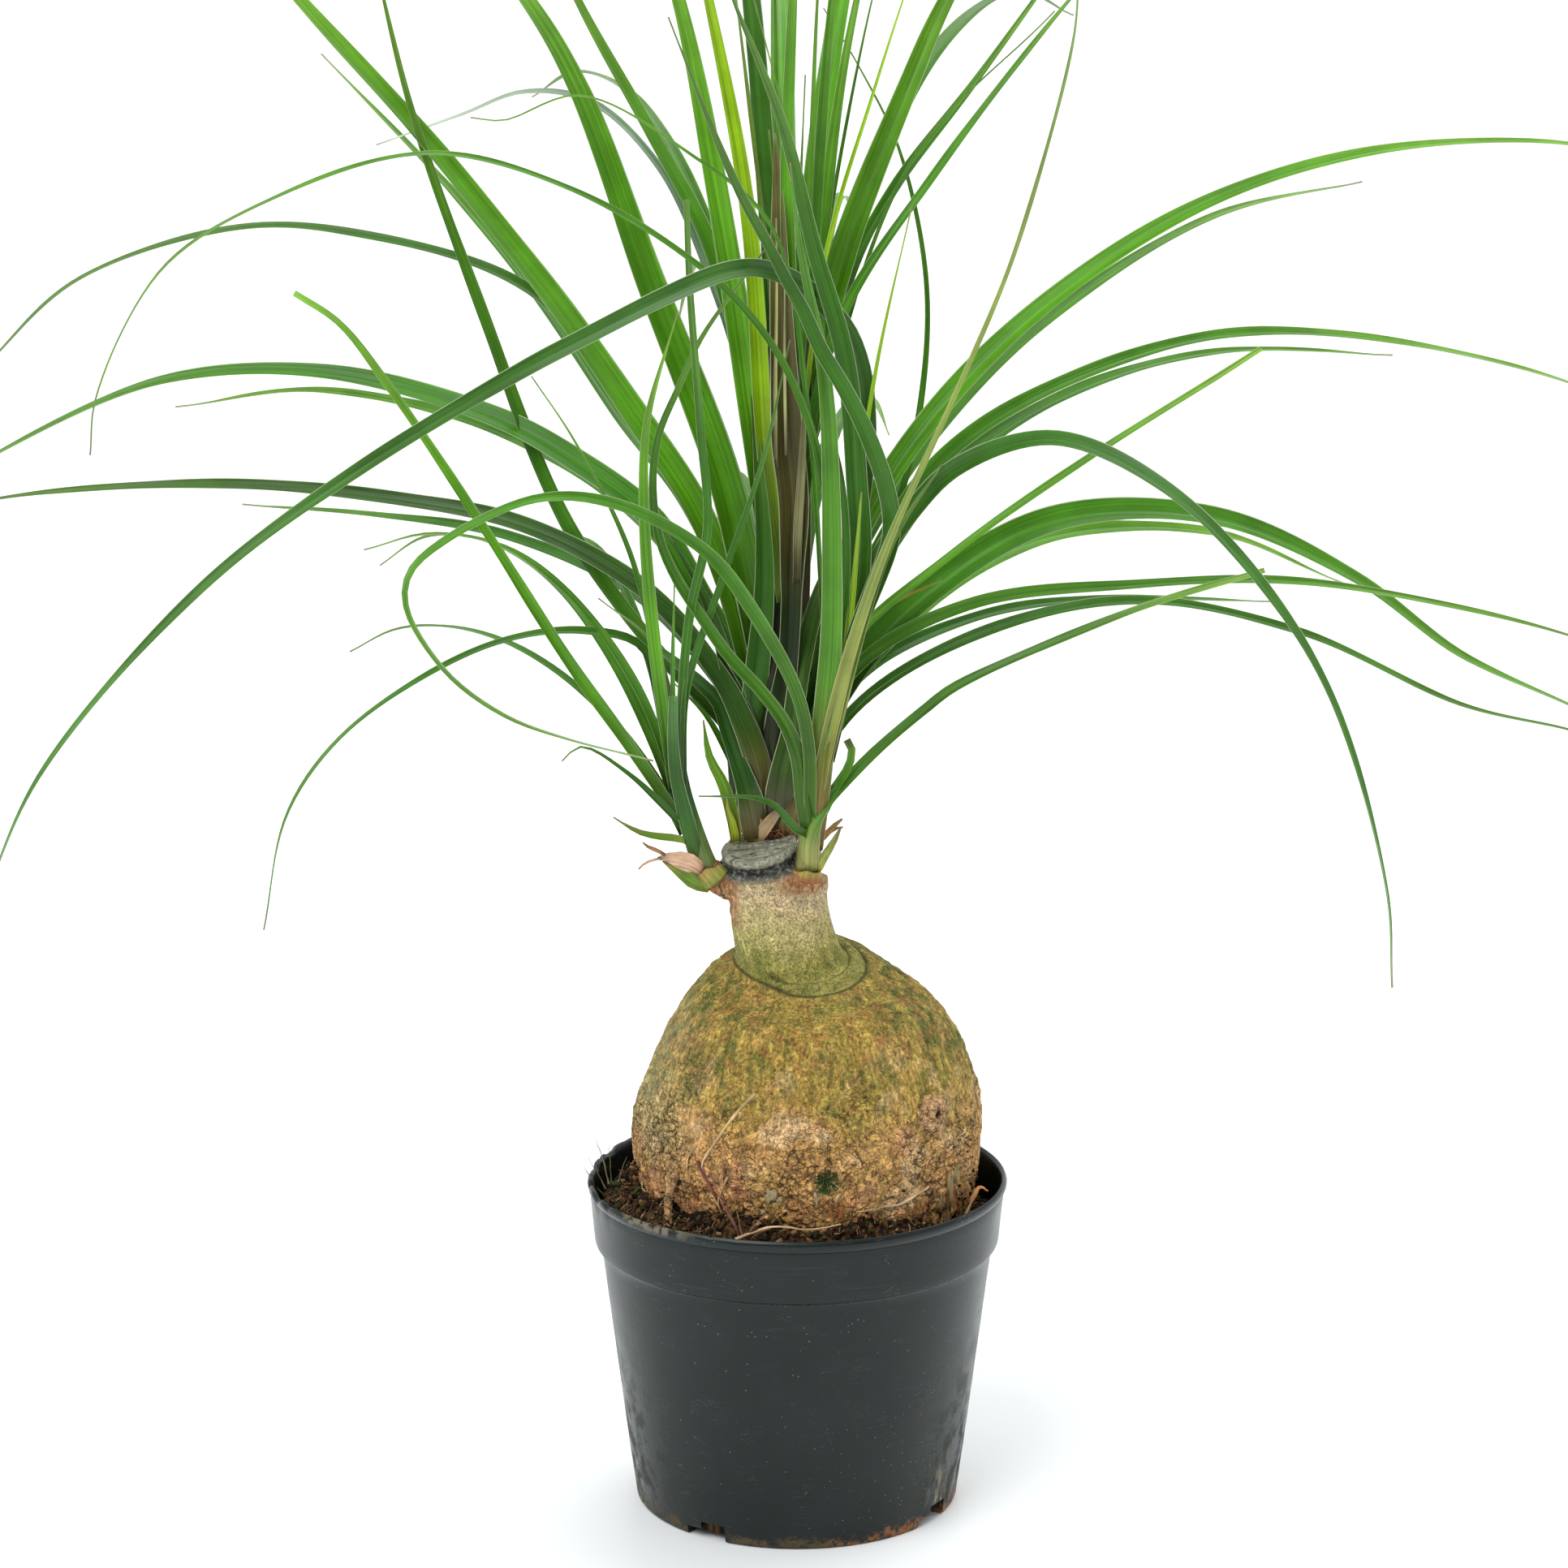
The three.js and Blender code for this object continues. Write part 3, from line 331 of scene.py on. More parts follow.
class Nodes:
    """A node tree, with short calls for the nodes that the skins and the sky use."""

    def __init__(self, tree):
        self.tree = tree

    def add(self, kind, settings=(), **inputs):
        node = self.tree.nodes.new("ShaderNode" + kind)
        for key, value in dict(settings).items():
            setattr(node, key, value)
        for key, value in inputs.items():
            self.feed(node.inputs[key.replace("_", " ")], value)
        return node

    def feed(self, socket, value):
        if isinstance(value, bpy.types.NodeSocket):
            self.tree.links.new(value, socket)
        elif socket.type == "RGBA":
            socket.default_value = (*value, 1)
        else:
            socket.default_value = value

    def math(self, operation, *values):
        node = self.add("Math", {"operation": operation})
        for socket, value in zip(node.inputs, values):
            self.feed(socket, value)
        return node.outputs[0]

    def times(self, *values):
        return reduce(lambda a, b: self.math("MULTIPLY", a, b), values)

    def plus(self, *values):
        return reduce(lambda a, b: self.math("ADD", a, b), values)

    def less(self, a, b):
        return self.math("SUBTRACT", a, b)

    def most(self, *values):
        return reduce(lambda a, b: self.math("MAXIMUM", a, b), values)

    def within(self, light, share):
        """A brightness where the share is 1, and 1 where the share is 0."""
        return self.plus(self.times(light, share), self.less(1.0, share))

    def stretch(self, vector, scale):
        node = self.add("VectorMath", {"operation": "MULTIPLY"})
        self.feed(node.inputs[0], vector)
        self.feed(node.inputs[1], scale)
        return node.outputs[0]

    def join(self, x, y, z=0.0):
        return self.add("CombineXYZ", X=x, Y=y, Z=z).outputs[0]

    def between(self, value, low, high, out_low=0.0, out_high=1.0):
        node = self.add("MapRange", {"interpolation_type": "SMOOTHSTEP"}, Value=value)
        for name, number in (("From Min", low), ("From Max", high), ("To Min", out_low),
                             ("To Max", out_high)):
            node.inputs[name].default_value = number
        return node.outputs["Result"]

    def mix(self, share, a, b, way="MIX"):
        node = self.add("Mix", {"data_type": "RGBA", "blend_type": way})
        for index, value in ((0, share), (6, a), (7, b)):
            self.feed(node.inputs[index], value)
        return node.outputs[2]

    def lit(self, base, light):
        """The base colour at another brightness."""
        return self.mix(1.0, base, self.join(light, light, light), "MULTIPLY")

    def over(self, base, *layers):
        """Colours over the base, each with the factors of the share that it covers."""
        for code, *shares in layers:
            base = self.mix(self.times(*shares), base, colour(code))
        return base

    def bump(self, height, distance, strength):
        return self.add("Bump", Height=height, Distance=distance, Strength=strength).outputs["Normal"]


class Skin(Nodes):
    """A node material."""

    def __init__(self, name):
        self.material = bpy.data.materials.new(name)
        self.material.use_nodes = True
        super().__init__(self.material.node_tree)
        self.tree.nodes.clear()
        self.place = self.add("TexCoord").outputs["Object"]

    def value(self, name):
        return self.add("Attribute", {"attribute_name": name}).outputs["Fac"]

    def shade(self):
        return self.add("Attribute", {"attribute_name": "shade"}).outputs["Color"]

    def grain(self, size, detail=3.0, rough=0.55, vector=None):
        """Noise of 0 to 1 at a feature size in metres."""
        node = self.add("TexNoise", Vector=vector or self.place, Scale=1 / size, Detail=detail,
                        Roughness=rough)
        return node.outputs["Fac"]

    def cells(self, size, output, vector=None):
        """Cells of a size in metres: their Color, or the Distance from their middles."""
        return self.add("TexVoronoi", Vector=vector or self.place, Scale=1 / size).outputs[output]

    def cracks(self, size, vector):
        """Distance from the nearest cell border, in cell sizes."""
        node = self.add("TexVoronoi", {"feature": "DISTANCE_TO_EDGE"}, Vector=vector, Scale=1 / size)
        return node.outputs["Distance"]

    def finish(self, base, rough, normal=None, specular=0.5, behind=None):
        """behind is the share and the colour of the light that shines through."""
        shader = self.add("BsdfPrincipled", Base_Color=base, Roughness=rough)
        if normal:
            self.feed(shader.inputs["Normal"], normal)
        shader.inputs["Specular IOR Level"].default_value = specular
        surface = shader.outputs[0]
        if behind:
            share, tone = behind
            glow = self.add("BsdfTranslucent", Color=tone)
            both = self.add("MixShader")
            for socket, value in zip(both.inputs, (share, surface, glow.outputs[0])):
                self.feed(socket, value)
            surface = both.outputs[0]
        self.add("OutputMaterial", Surface=surface)
        return self.material


def leaf_skin():
    """Living leaves: fine lengthwise veins, a thin pale margin that is partly a painted highlight along the
    edge, and a satin gloss.
    """
    s = Skin("living_leaf")
    strip = s.join(s.value("across"), s.times(s.value("along"), 0.008))
    veins = s.grain(0.0011, 1.0, 0.5, strip)
    fine = s.grain(0.0005, 1.0, 0.5, strip)
    patches = s.grain(0.02)
    light = s.plus(s.between(veins, 0.36, 0.64, 0.88, 1.1), s.between(fine, 0.34, 0.66, -0.17, 0.17))
    base = s.lit(s.shade(), s.times(light, s.between(patches, 0.3, 0.7, 0.84, 1.12)))
    base = s.mix(s.times(s.value("under"), 0.5), base, s.over(base, ("#8fa67c", 0.3)))
    # the pale margin: partly the leaf's own pale edge, partly a painted highlight along it
    base = s.over(base, ("#e2ebc6", s.between(s.value("rim"), 0.91, 0.97), 0.65))
    rough = s.between(patches, 0.3, 0.7, 0.27, 0.42)
    normal = s.bump(s.plus(veins, s.times(fine, 0.3)), 0.00022, 0.6)
    return s.finish(base, rough, normal, 0.33, behind=(0.2, s.over(base, ("#8fae1e", 0.3))))


def dry_skin():
    """Dry, papery or woody scraps whose colour is kept in the mesh."""
    s = Skin("papery_foot")
    strip = s.join(s.value("across"), s.times(s.value("along"), 0.05))
    fibres = s.grain(0.0006, 3.0, 0.6, strip)
    light = s.times(s.between(fibres, 0.3, 0.7, 0.7, 1.25),
                    s.between(s.grain(0.004, 4.0), 0.3, 0.7, 0.8, 1.15))
    shade = s.shade()
    return s.finish(s.lit(shade, light), 0.65, s.bump(fibres, 0.0002, 0.7), behind=(0.15, shade))


def chipped(s, lower):
    """The slits round irregular chips of bark, and the chips' own brightness."""
    shifted = s.place
    for scale, reach in ((160.0, 0.005), (620.0, 0.0016)):
        warp = s.add("TexNoise", Vector=s.place, Scale=scale, Detail=3.0)
        shifted = s.mix(reach, shifted, warp.outputs["Color"], "ADD")
    slit, chips = 0.0, 1.0
    for size, tall, gap, strength in ((0.0066, 1.5, 0.04, 1.0), (0.0034, 1.35, 0.055, 0.85),
                                      (0.0016, 1.3, 0.07, 0.6)):
        stretched = s.stretch(shifted, (1.0, 1.0, tall))
        shown = s.between(s.grain(size * 1.1, 3.0, 0.6), 0.42, 0.58, 0.0, strength)
        slit = s.most(slit, s.times(s.between(s.cracks(size, stretched), gap, 0.008), shown))
        tones = s.cells(size, "Color", stretched)
        chips = s.times(chips, s.between(tones, 0.2, 0.8, 0.88, 1.13))
    return s.times(slit, lower), s.within(chips, lower)


def cork_skin():
    """The bulb, neck and sawn trunk. Broad colours are kept in the mesh."""
    s = Skin("corky_bark")
    neck, face, corky = s.value("neck"), s.value("face"), s.value("corky")
    bark = s.less(1.0, s.most(neck, face))
    upper = s.times(bark, s.less(1.0, corky))
    lower = s.times(bark, corky)
    slit, chips = chipped(s, lower)
    crumbs = s.grain(0.0011, 5.0, 0.7)
    flecks = s.grain(0.003, 5.0, 0.7)
    fibres = s.grain(0.0009, 4.0, 0.65, s.stretch(s.place, (1.0, 1.0, 0.22)))
    light = s.times(s.between(crumbs, 0.3, 0.7, 0.64, 1.36), s.between(flecks, 0.3, 0.7, 0.74, 1.26),
                    s.within(s.between(fibres, 0.32, 0.68, 0.58, 1.4), upper), chips)
    holes = s.times(s.between(s.grain(0.0021, 5.0, 0.75), 0.4, 0.31), bark)
    base = s.over(s.lit(s.shade(), light),
                  ("#dcae7a", s.between(s.grain(0.0013, 4.0, 0.7), 0.55, 0.66), bark, 0.4),
                  ("#3a2612", holes, 0.5),
                  ("#2a1a0c", slit, 0.85),
                  ("#45421a", s.between(fibres, 0.4, 0.3), upper, 0.5))
    # moss, mostly above the chips
    growth = s.times(s.between(s.grain(0.0016, 5.0, 0.75), 0.5, 0.6), s.plus(0.25, s.times(upper, 0.75)),
                     s.between(s.grain(0.011), 0.4, 0.6), bark)
    base = s.over(base, ("#52661e", growth, 0.55))
    # green and brown freckles on the neck
    grit = s.times(s.between(s.grain(0.0007, 3.0, 0.7), 0.4, 0.6, -0.32, 0.32), neck)
    mottle = s.times(s.between(s.grain(0.0011, 4.0, 0.75), 0.49, 0.58),
                     s.between(s.grain(0.007), 0.4, 0.58))
    freckles = s.grain(0.00075, 3.0, 0.7, s.stretch(s.place, (1.0, 1.0, 0.8)))
    base = s.over(s.lit(base, s.plus(1.0, grit)), ("#666f28", mottle, neck, 0.55),
                  ("#4c491f", s.between(freckles, 0.545, 0.61), neck, 0.62))
    # weathered grain of the sawn wood
    wood = s.grain(0.0008, 4.0, 0.65, s.stretch(s.place, (0.13, 0.8, 1.0)))
    base = s.over(base, ("#3f4238", s.between(wood, 0.46, 0.36), face, 0.65),
                  ("#c6c7ae", s.between(wood, 0.57, 0.66), face, 0.4))
    height = s.plus(crumbs, s.times(slit, -1.5), s.times(chips, lower, 1.2),
                    s.times(fibres, upper, 1.6), s.times(holes, -0.7), s.times(wood, face, 1.5))
    height = s.times(height, s.less(1.0, s.times(neck, 0.65)))
    rough = s.plus(0.7, s.times(crumbs, 0.2))
    return s.finish(base, rough, s.bump(height, 0.0012, 0.95), 0.3)


def earth_skin():
    s = Skin("potting_mix")
    crumbs = s.grain(0.0009, 5.0, 0.7)
    light = s.times(s.between(crumbs, 0.25, 0.75, 0.5, 1.4),
                    s.between(s.grain(0.006), 0.3, 0.7, 0.75, 1.2))
    return s.finish(s.lit(s.shade(), light), 0.93, s.bump(crumbs, 0.0009, 0.9), 0.2)


def plastic_skin():
    """Dark semi-gloss plastic with fine scratches, dust, and dirt along its foot."""
    s = Skin("nursery_pot_plastic")
    split = s.add("SeparateXYZ", Vector=s.place)
    x, y, z = (split.outputs[name] for name in "XYZ")
    angle = s.math("ARCTAN2", y, x)
    wall = s.join(s.times(angle, 0.065), z)

    def beside(place, wide, narrow):
        """1 close to an angle, and 0 further along the wall."""
        return s.between(s.math("ABSOLUTE", s.less(angle, place)), wide, narrow)

    haze = s.grain(0.03, 4.0, 0.6)
    cloud = s.grain(0.009, 4.0, 0.6)
    rings = s.grain(0.0009, 2.0, 0.5, s.stretch(wall, (0.03, 1.0, 1.0)))
    scuffs = s.grain(0.004, 5.0, 0.7, s.stretch(wall, (0.25, 1.0, 1.0)))
    band = s.between(z, (CREASE - 1.5) * MM, (CREASE + 0.5) * MM)
    base = s.mix(s.between(haze, 0.35, 0.7), colour("#020f0d"), colour("#081a16"))
    # hair-thin scratches, mostly level, in places only
    shaken = s.mix(0.01, wall, s.join(scuffs, scuffs, scuffs), "ADD")
    lines = s.between(s.cracks(0.0035, s.stretch(shaken, (0.1, 1.0, 1.0))), 0.012, 0.0)
    lines = s.times(lines, s.between(s.grain(0.012, 2.0), 0.52, 0.68))
    # white specks, thicker towards the lower right
    low_right = s.times(s.between(x, -0.01, 0.05), s.between(z, 0.085, 0.02))
    some = s.between(s.grain(0.006, 2.0), 0.5, 0.64)
    more = s.most(s.times(some, 0.62), s.times(low_right, 0.7))
    # greenish haze on the flanks, near the foot
    algae = s.times(s.between(s.math("ABSOLUTE", x), 0.03, 0.056), s.between(z, 0.075, 0.005),
                    s.between(cloud, 0.4, 0.62))
    base = s.over(base, ("#66706e", lines, 0.5), ("#465250", s.between(rings, 0.58, 0.8), band, 0.2),
                  ("#b9c0b4", s.between(s.cells(0.0019, "Distance"), 0.11, 0.05), more),
                  ("#33361c", algae, 0.55))
    # earth along the bottom edge, rusty at the right
    edge = s.plus(z, s.between(cloud, 0.25, 0.8, -0.003, 0.004))
    crust = s.times(s.between(edge, 0.0052, 0.0012), s.between(s.grain(0.0022, 4.0), 0.38, 0.55))
    rust = s.mix(s.between(x, 0.0, 0.03), colour("#54462c"), colour("#9a6433"))
    base = s.mix(s.times(crust, 0.9), base, rust)
    # a pale dried drip down the right foot, and mud on the left of the lip
    runs = s.grain(0.0035, 4.0, 0.6, s.stretch(wall, (1.0, 0.35, 1.0)))
    drip = s.times(beside(-0.55, 0.16, 0.02), s.between(z, 0.03, 0.004), s.between(runs, 0.48, 0.62))
    smear = s.times(beside(-2.33, 0.3, 0.1), s.between(z, (POT_HEIGHT - 3.5) * MM, (POT_HEIGHT - 1.5) * MM),
                    s.between(s.grain(0.0035, 4.0, 0.6), 0.44, 0.56))
    base = s.over(base, ("#a89c80", drip, 0.8), ("#a5977c", smear, 0.45))
    dirt = s.most(crust, drip, smear, algae)
    rough = s.plus(s.between(haze, 0.3, 0.7, 0.21, 0.34), s.times(dirt, 0.45))
    relief = s.plus(s.times(scuffs, 0.12), s.times(dirt, 0.8), s.times(lines, -0.25),
                    s.times(rings, band, 0.12))
    return s.finish(base, rough, s.bump(relief, 0.0004, 0.55), 0.36)


def floor_skin():
    """Pale, with a faint blue cast of painted light near the pot that fades outwards."""
    s = Skin("pale_floor")
    reach = s.add("VectorMath", {"operation": "LENGTH"})
    s.feed(reach.inputs[0], s.place)
    away = s.between(reach.outputs["Value"], 0.15, 1.6)
    return s.finish(s.mix(away, colour("#fbfeff"), colour("#f8f9fa")), 0.4, specular=0.3)



# ------------------------------------------------------------------------ leaves

# Root, middle and tip colours of each kind of leaf.
LOOKS = {
    # partly painted light: a leaf lit through from behind
    "bright": ("#4c781a", "#5ea315", "#85be40"),
    "fresh": ("#4f801d", "#66a81f", "#87b648"),
    "leafy": ("#416817", "#4d8d16", "#6fa535"),
    "mid": ("#47701b", "#53911f", "#79a540"),
    "dark": ("#3c6419", "#437d1b", "#699240"),
    "deep": ("#375d17", "#468817", "#609232"),
    "blue": ("#4a6a28", "#3c6f22", "#5f9048"),
    # a dark leaf whose pale grey middle and tip are painted sheen
    "silver_painted_sheen": ("#396424", "#86a88e", "#d3e4da"),
    "lime": ("#7d9f29", "#9dc816", "#a5c940"),
    # partly painted light: a leaf lit through from behind, glowing yellow-green
    "glow": ("#6a7937", "#61a116", "#83bc35"),
    "violet": ("#575a2d", "#708d2e", "#89ae53"),
    "purple": ("#23350f", "#554f27", "#736b3a"),
    # a thin pale strip whose colours are a painted highlight
    "painted_highlight": ("#4c4a26", "#94916a", "#77733f"),
    "olive": ("#7a6238", "#8d8148", "#6d5a30"),
    "brown": ("#7d652d", "#548d22", "#629739"),
    "straw": ("#9fa24c", "#9db35a", "#7fa35c"),
    "yellow": ("#859c2c", "#adbd32", "#ad903d"),
    "pale": ("#59883d", "#8aae68", "#b1c88d"),
    "dying": ("#a17324", "#71a121", "#63961f"),
    "foot": ("#5a5238", "#446829", "#46741f"),
    "plum": ("#3e351f", "#52462c", "#616233"),
    "bract": ("#95a342", "#719630", "#a1964a"),
    "sprout": ("#b9bb6c", "#568d2c", "#87b648"),
    "wine": ("#756538", "#3b651f", "#699240"),
    "base": ("#70633a", "#33611f", "#5f9048"),
    "paper": ("#b4835f", "#ddb593", "#c4a080"),
    "prong": ("#b59a48", "#a5ad58", "#8f8a4a"),
    "cream": ("#7d7a50", "#c0bd86", "#a9b283"),
    "tan": ("#a67c50", "#cbab7c", "#a68c62"),
    "husk": ("#8d6238", "#c3955f", "#8a7a4a"),
}
# Places across a blade, from one edge to the other.
WIDE = (-1, -0.94, -0.72, -0.45, -0.2, 0, 0.2, 0.45, 0.72, 0.94, 1)
NARROW = (-1, -0.8, -0.4, 0, 0.4, 0.8, 1)
NARROW_WIDTH = 4
BLADE_STATION = 4.0  # spacing of the cross-sections along a blade
ROOT_WIDTH = 0.8  # a blade's width at its root, as a share of its full width
DRY_TIP = colour("#9a8a6c")
DRY_LENGTH = 0.03  # how much of a blade is dry, as a share of its length


def half_widths(share, width, widths, cut):
    """Half a blade's width at each station, from a list or else swelling and tapering."""
    if widths:
        return np.maximum(even_steps(share, widths), 0.4) / 2
    swelling = ROOT_WIDTH + (1 - ROOT_WIDTH) * ramp(share, 0, 0.3)
    taper = 1 - 0.45 * share ** 2 if cut else 1 - share ** 2.6
    return np.maximum(width * swelling * taper, 0.5) / 2


def blade_shade(share, fade, look, cut, tone):
    """A blade's colours along its length. No two blades have quite the same."""
    root, middle, tip = (colour(code) for code in LOOKS[look])
    shade = blend(blend(root, middle, fade), tip, ramp(share, 0.55, 1.0))
    if not cut:
        shade = blend(shade, DRY_TIP, ramp(share, 1 - DRY_LENGTH, 1.0) * 0.8)
    light = tone * rng.uniform(0.86, 1.12)
    return shade * light * (1, rng.uniform(0.97, 1.03), rng.uniform(0.85, 1.15))


def blade(pile, points, width, face_at, look, cut=False, widths=None, foot=None, wrap=1.1,
          tone=1.0, blush=None):
    """Adds one long channelled blade, with its veins' coordinates kept in the mesh.
    face_at gives the direction of its upper side, and widths its widths at even steps.
    foot is the width and length of the part that is bent back round the stem, wrap is how
    far round that goes, and blush is how far up the root's colour begins and ends to fade."""
    path, run = smooth_path(points, BLADE_STATION)
    share = run / run[-1]
    along = tangents(path)
    face = face_at(share, along)
    face = unit(face - along * np.sum(face * along, axis=1, keepdims=True))
    across = np.cross(along, face)
    half = half_widths(share, width, widths, cut)
    width = max(widths) if widths else width
    near = np.zeros(len(path))
    if foot:
        near = 1 - ramp(run, foot[1] * 0.25, foot[1])
        half = half * (1 - near) + near * foot[0] / 2
        width = max(width, foot[0])
    # the blade waves a little, and its edges ripple
    turn_at, phase = rng.uniform(17, 30), rng.uniform(0, 6)
    loose = ramp(share, 0.1, 0.3) * ramp(1 - share, 0, 0.1)
    path = path + face * (0.35 * loose * np.sin(run / turn_at + phase))[:, None]
    t = np.array(WIDE if width > NARROW_WIDTH else NARROW)
    fold = CHANNEL * 2 * half * (1 + 0.5 * (1 - ramp(share, 0, 0.15)))
    rise = fold[:, None] * np.abs(t)[None, :] ** 1.35
    rise = rise + (0.14 * loose * np.sin(run / (turn_at * 0.4)))[:, None] * t[None, :] ** 3
    # the foot is bent round an arc
    bent = np.maximum(wrap * near, 0.001)[:, None]
    spread = half[:, None] * np.sin(bent * t) / bent
    rise = rise * (1 - np.minimum(bent, 1)) - half[:, None] * (1 - np.cos(bent * t)) / bent
    thick = BLADE_THICKNESS * min(1, 0.45 + width / 10) * (1 - 0.8 * t ** 2)
    upper = (path[:, None] + across[:, None] * spread[..., None] + face[:, None] * rise[..., None])
    lower = (upper - face[:, None] * thick[None, :, None])[:, -2:0:-1]
    rings = np.concatenate([upper, lower], axis=1)
    count = rings.shape[1]
    places = np.concatenate([t, t[-2:0:-1]])
    fade = ramp(run, *blush) if blush else ramp(share, 0.02, 0.3)
    shade = blade_shade(share, fade, look, cut, tone)
    middle_line = 1 + 0.14 * (1 - ramp(np.abs(places), 0.02, 0.2))
    full = shade[:, None, :] * middle_line[None, :, None]
    offset = rng.uniform(0, 900)  # gives each blade its own veins
    pile.add(rings, ring_faces(len(path), count),
             across=((half[:, None] * places + offset) * MM).ravel(),
             along=np.repeat(run * MM, count),
             rim=np.tile(np.abs(places), len(path)),
             under=np.tile(np.arange(count) >= len(t), len(path)).astype(float),
             shade=np.clip(full, 0, 1).reshape(-1, 3))


def leaf(pile, width, lean, look, route, options=None):
    """A leaf whose route is read from the front. lean turns its upper side from the
    viewer (0) towards up and in to the plant (90), at the root, middle and tip."""
    options = dict(options or {})
    points = [seen(*place) for place in route]
    side = options.pop("side", None) or np.sign(points[-1][0] - points[0][0])

    def face_at(share, along):
        angle = np.radians(np.interp(share, (0, 0.5, 1), lean))[:, None]
        inward = unit(np.cross(along, SIGHT)) * side
        toward = -unit(SIGHT - along * (along @ SIGHT)[:, None])
        return toward * np.cos(angle) + inward * np.sin(angle)

    blade(pile, points, width, face_at, look, **options)


def arching(pile, start, bearing, length, rise, droop, width, look):
    """A leaf that the front hides: it rises from the crown, arches over and hangs."""
    angle = math.radians(bearing)
    out = np.array((math.cos(angle), math.sin(angle), 0))
    points = [np.array(start, float)]
    bends = 7
    climb = math.radians(rise)
    for bend in range(1, bends + 1):
        step = (out * math.cos(climb) + UP * math.sin(climb)) * length / bends
        points.append(points[-1] + step)
        climb -= math.radians(droop) * (0.4 + 1.2 * bend / bends) / bends
    level = np.array((-out[1], out[0], 0))

    def face_at(share, along):
        return (-np.cross(level, along)
                + level * (0.3 * np.sin(bearing + 3 * share))[:, None])

    blade(pile, points, width, face_at, look)


def shell(pile, grid, inward, thickness, **values):
    """Adds a thin closed skin: a grid of points and its copy, moved inwards."""
    rows, columns = grid.shape[:2]
    inner = grid + inward * thickness
    faces = []
    size = rows * columns
    for row in range(rows - 1):
        for column in range(columns - 1):
            a = row * columns + column
            quad = (a, a + 1, a + 1 + columns, a + columns)
            faces.append(quad)
            faces.append(tuple(corner + size for corner in reversed(quad)))
    border = ([column for column in range(columns)]
              + [row * columns + columns - 1 for row in range(1, rows)]
              + [(rows - 1) * columns + column for column in range(columns - 2, -1, -1)]
              + [row * columns for row in range(rows - 2, 0, -1)])
    for a, b in zip(border, border[1:] + border[:1]):
        faces.append((a, a + size, b + size, b))
    both = {key: np.concatenate([value.reshape(size, *value.shape[2:])] * 2)
            for key, value in values.items()}
    pile.add(np.concatenate([grid.reshape(-1, 3), inner.reshape(-1, 3)]), faces, **both)


def sheath(pile, foot, top, foot_radius, top_radius, start, end, codes, point=0.65):
    """The broad dry foot of an old leaf, wrapped part of the way round a shoot."""
    foot, top = np.array(foot, float), np.array(top, float)
    axis = top - foot
    up = axis / np.linalg.norm(axis)
    right = unit(RIGHT - up * up[0])
    back = np.cross(up, right)
    share = np.linspace(0, 1, 19)
    climb = np.linspace(0, 1, 9)
    angle = np.radians(start + (end - start) * share)
    tall = (1 - point) + point * np.sin(share * math.pi) ** 0.7
    tall = tall * (1 + 0.08 * np.sin(share * 23 + start))
    reach = climb[:, None] * tall[None, :]
    out = right * np.cos(angle)[:, None] + back * np.sin(angle)[:, None]
    radius = foot_radius + (top_radius - foot_radius) * reach
    radius = radius + 0.22 * np.sin(share * 31)[None, :] * reach
    grid = foot + axis * reach[..., None] + out[None] * (radius + 0.75)[..., None]
    low, high = (colour(code) for code in codes)
    shade = blend(low, high, ramp(reach.ravel(), 0.1, 0.9)).reshape(*reach.shape, 3)
    shade = shade * (1 - 0.25 * (np.sin(share * 57 + start) > 0.6))[None, :, None]
    shell(pile, grid, -out[None], 0.5, shade=shade,
          across=np.broadcast_to(angle * foot_radius * MM, reach.shape),
          along=reach * np.linalg.norm(axis) * MM)


def strand(pile, points, radius, code, sides=6, thin=0.4, kink=0.0):
    """A root, straw or hair through the points, with its colour."""
    path, run = smooth_path(points, max(0.8, radius * 1.6))
    share = run / run[-1]
    if kink:
        path = path + jumble(path, 3.1, 1.5, 7.5, 13.5) * kink
    radii = radius * (1 - thin * share) * (1 + 0.18 * np.sin(run / (radius * 2.3)))
    place, faces = tube(path, radii, sides)
    shade = np.clip(np.broadcast_to(colour(code), (len(path), 3))
                    * (1 + 0.25 * np.sin(run / 2.7 + radius * 40))[:, None], 0, 1)
    pile.add(place, faces, shade=np.repeat(shade, sides, axis=0),
             across=np.tile(np.arange(sides) * radius * MM, len(path)),
             along=np.repeat(run * MM, sides))


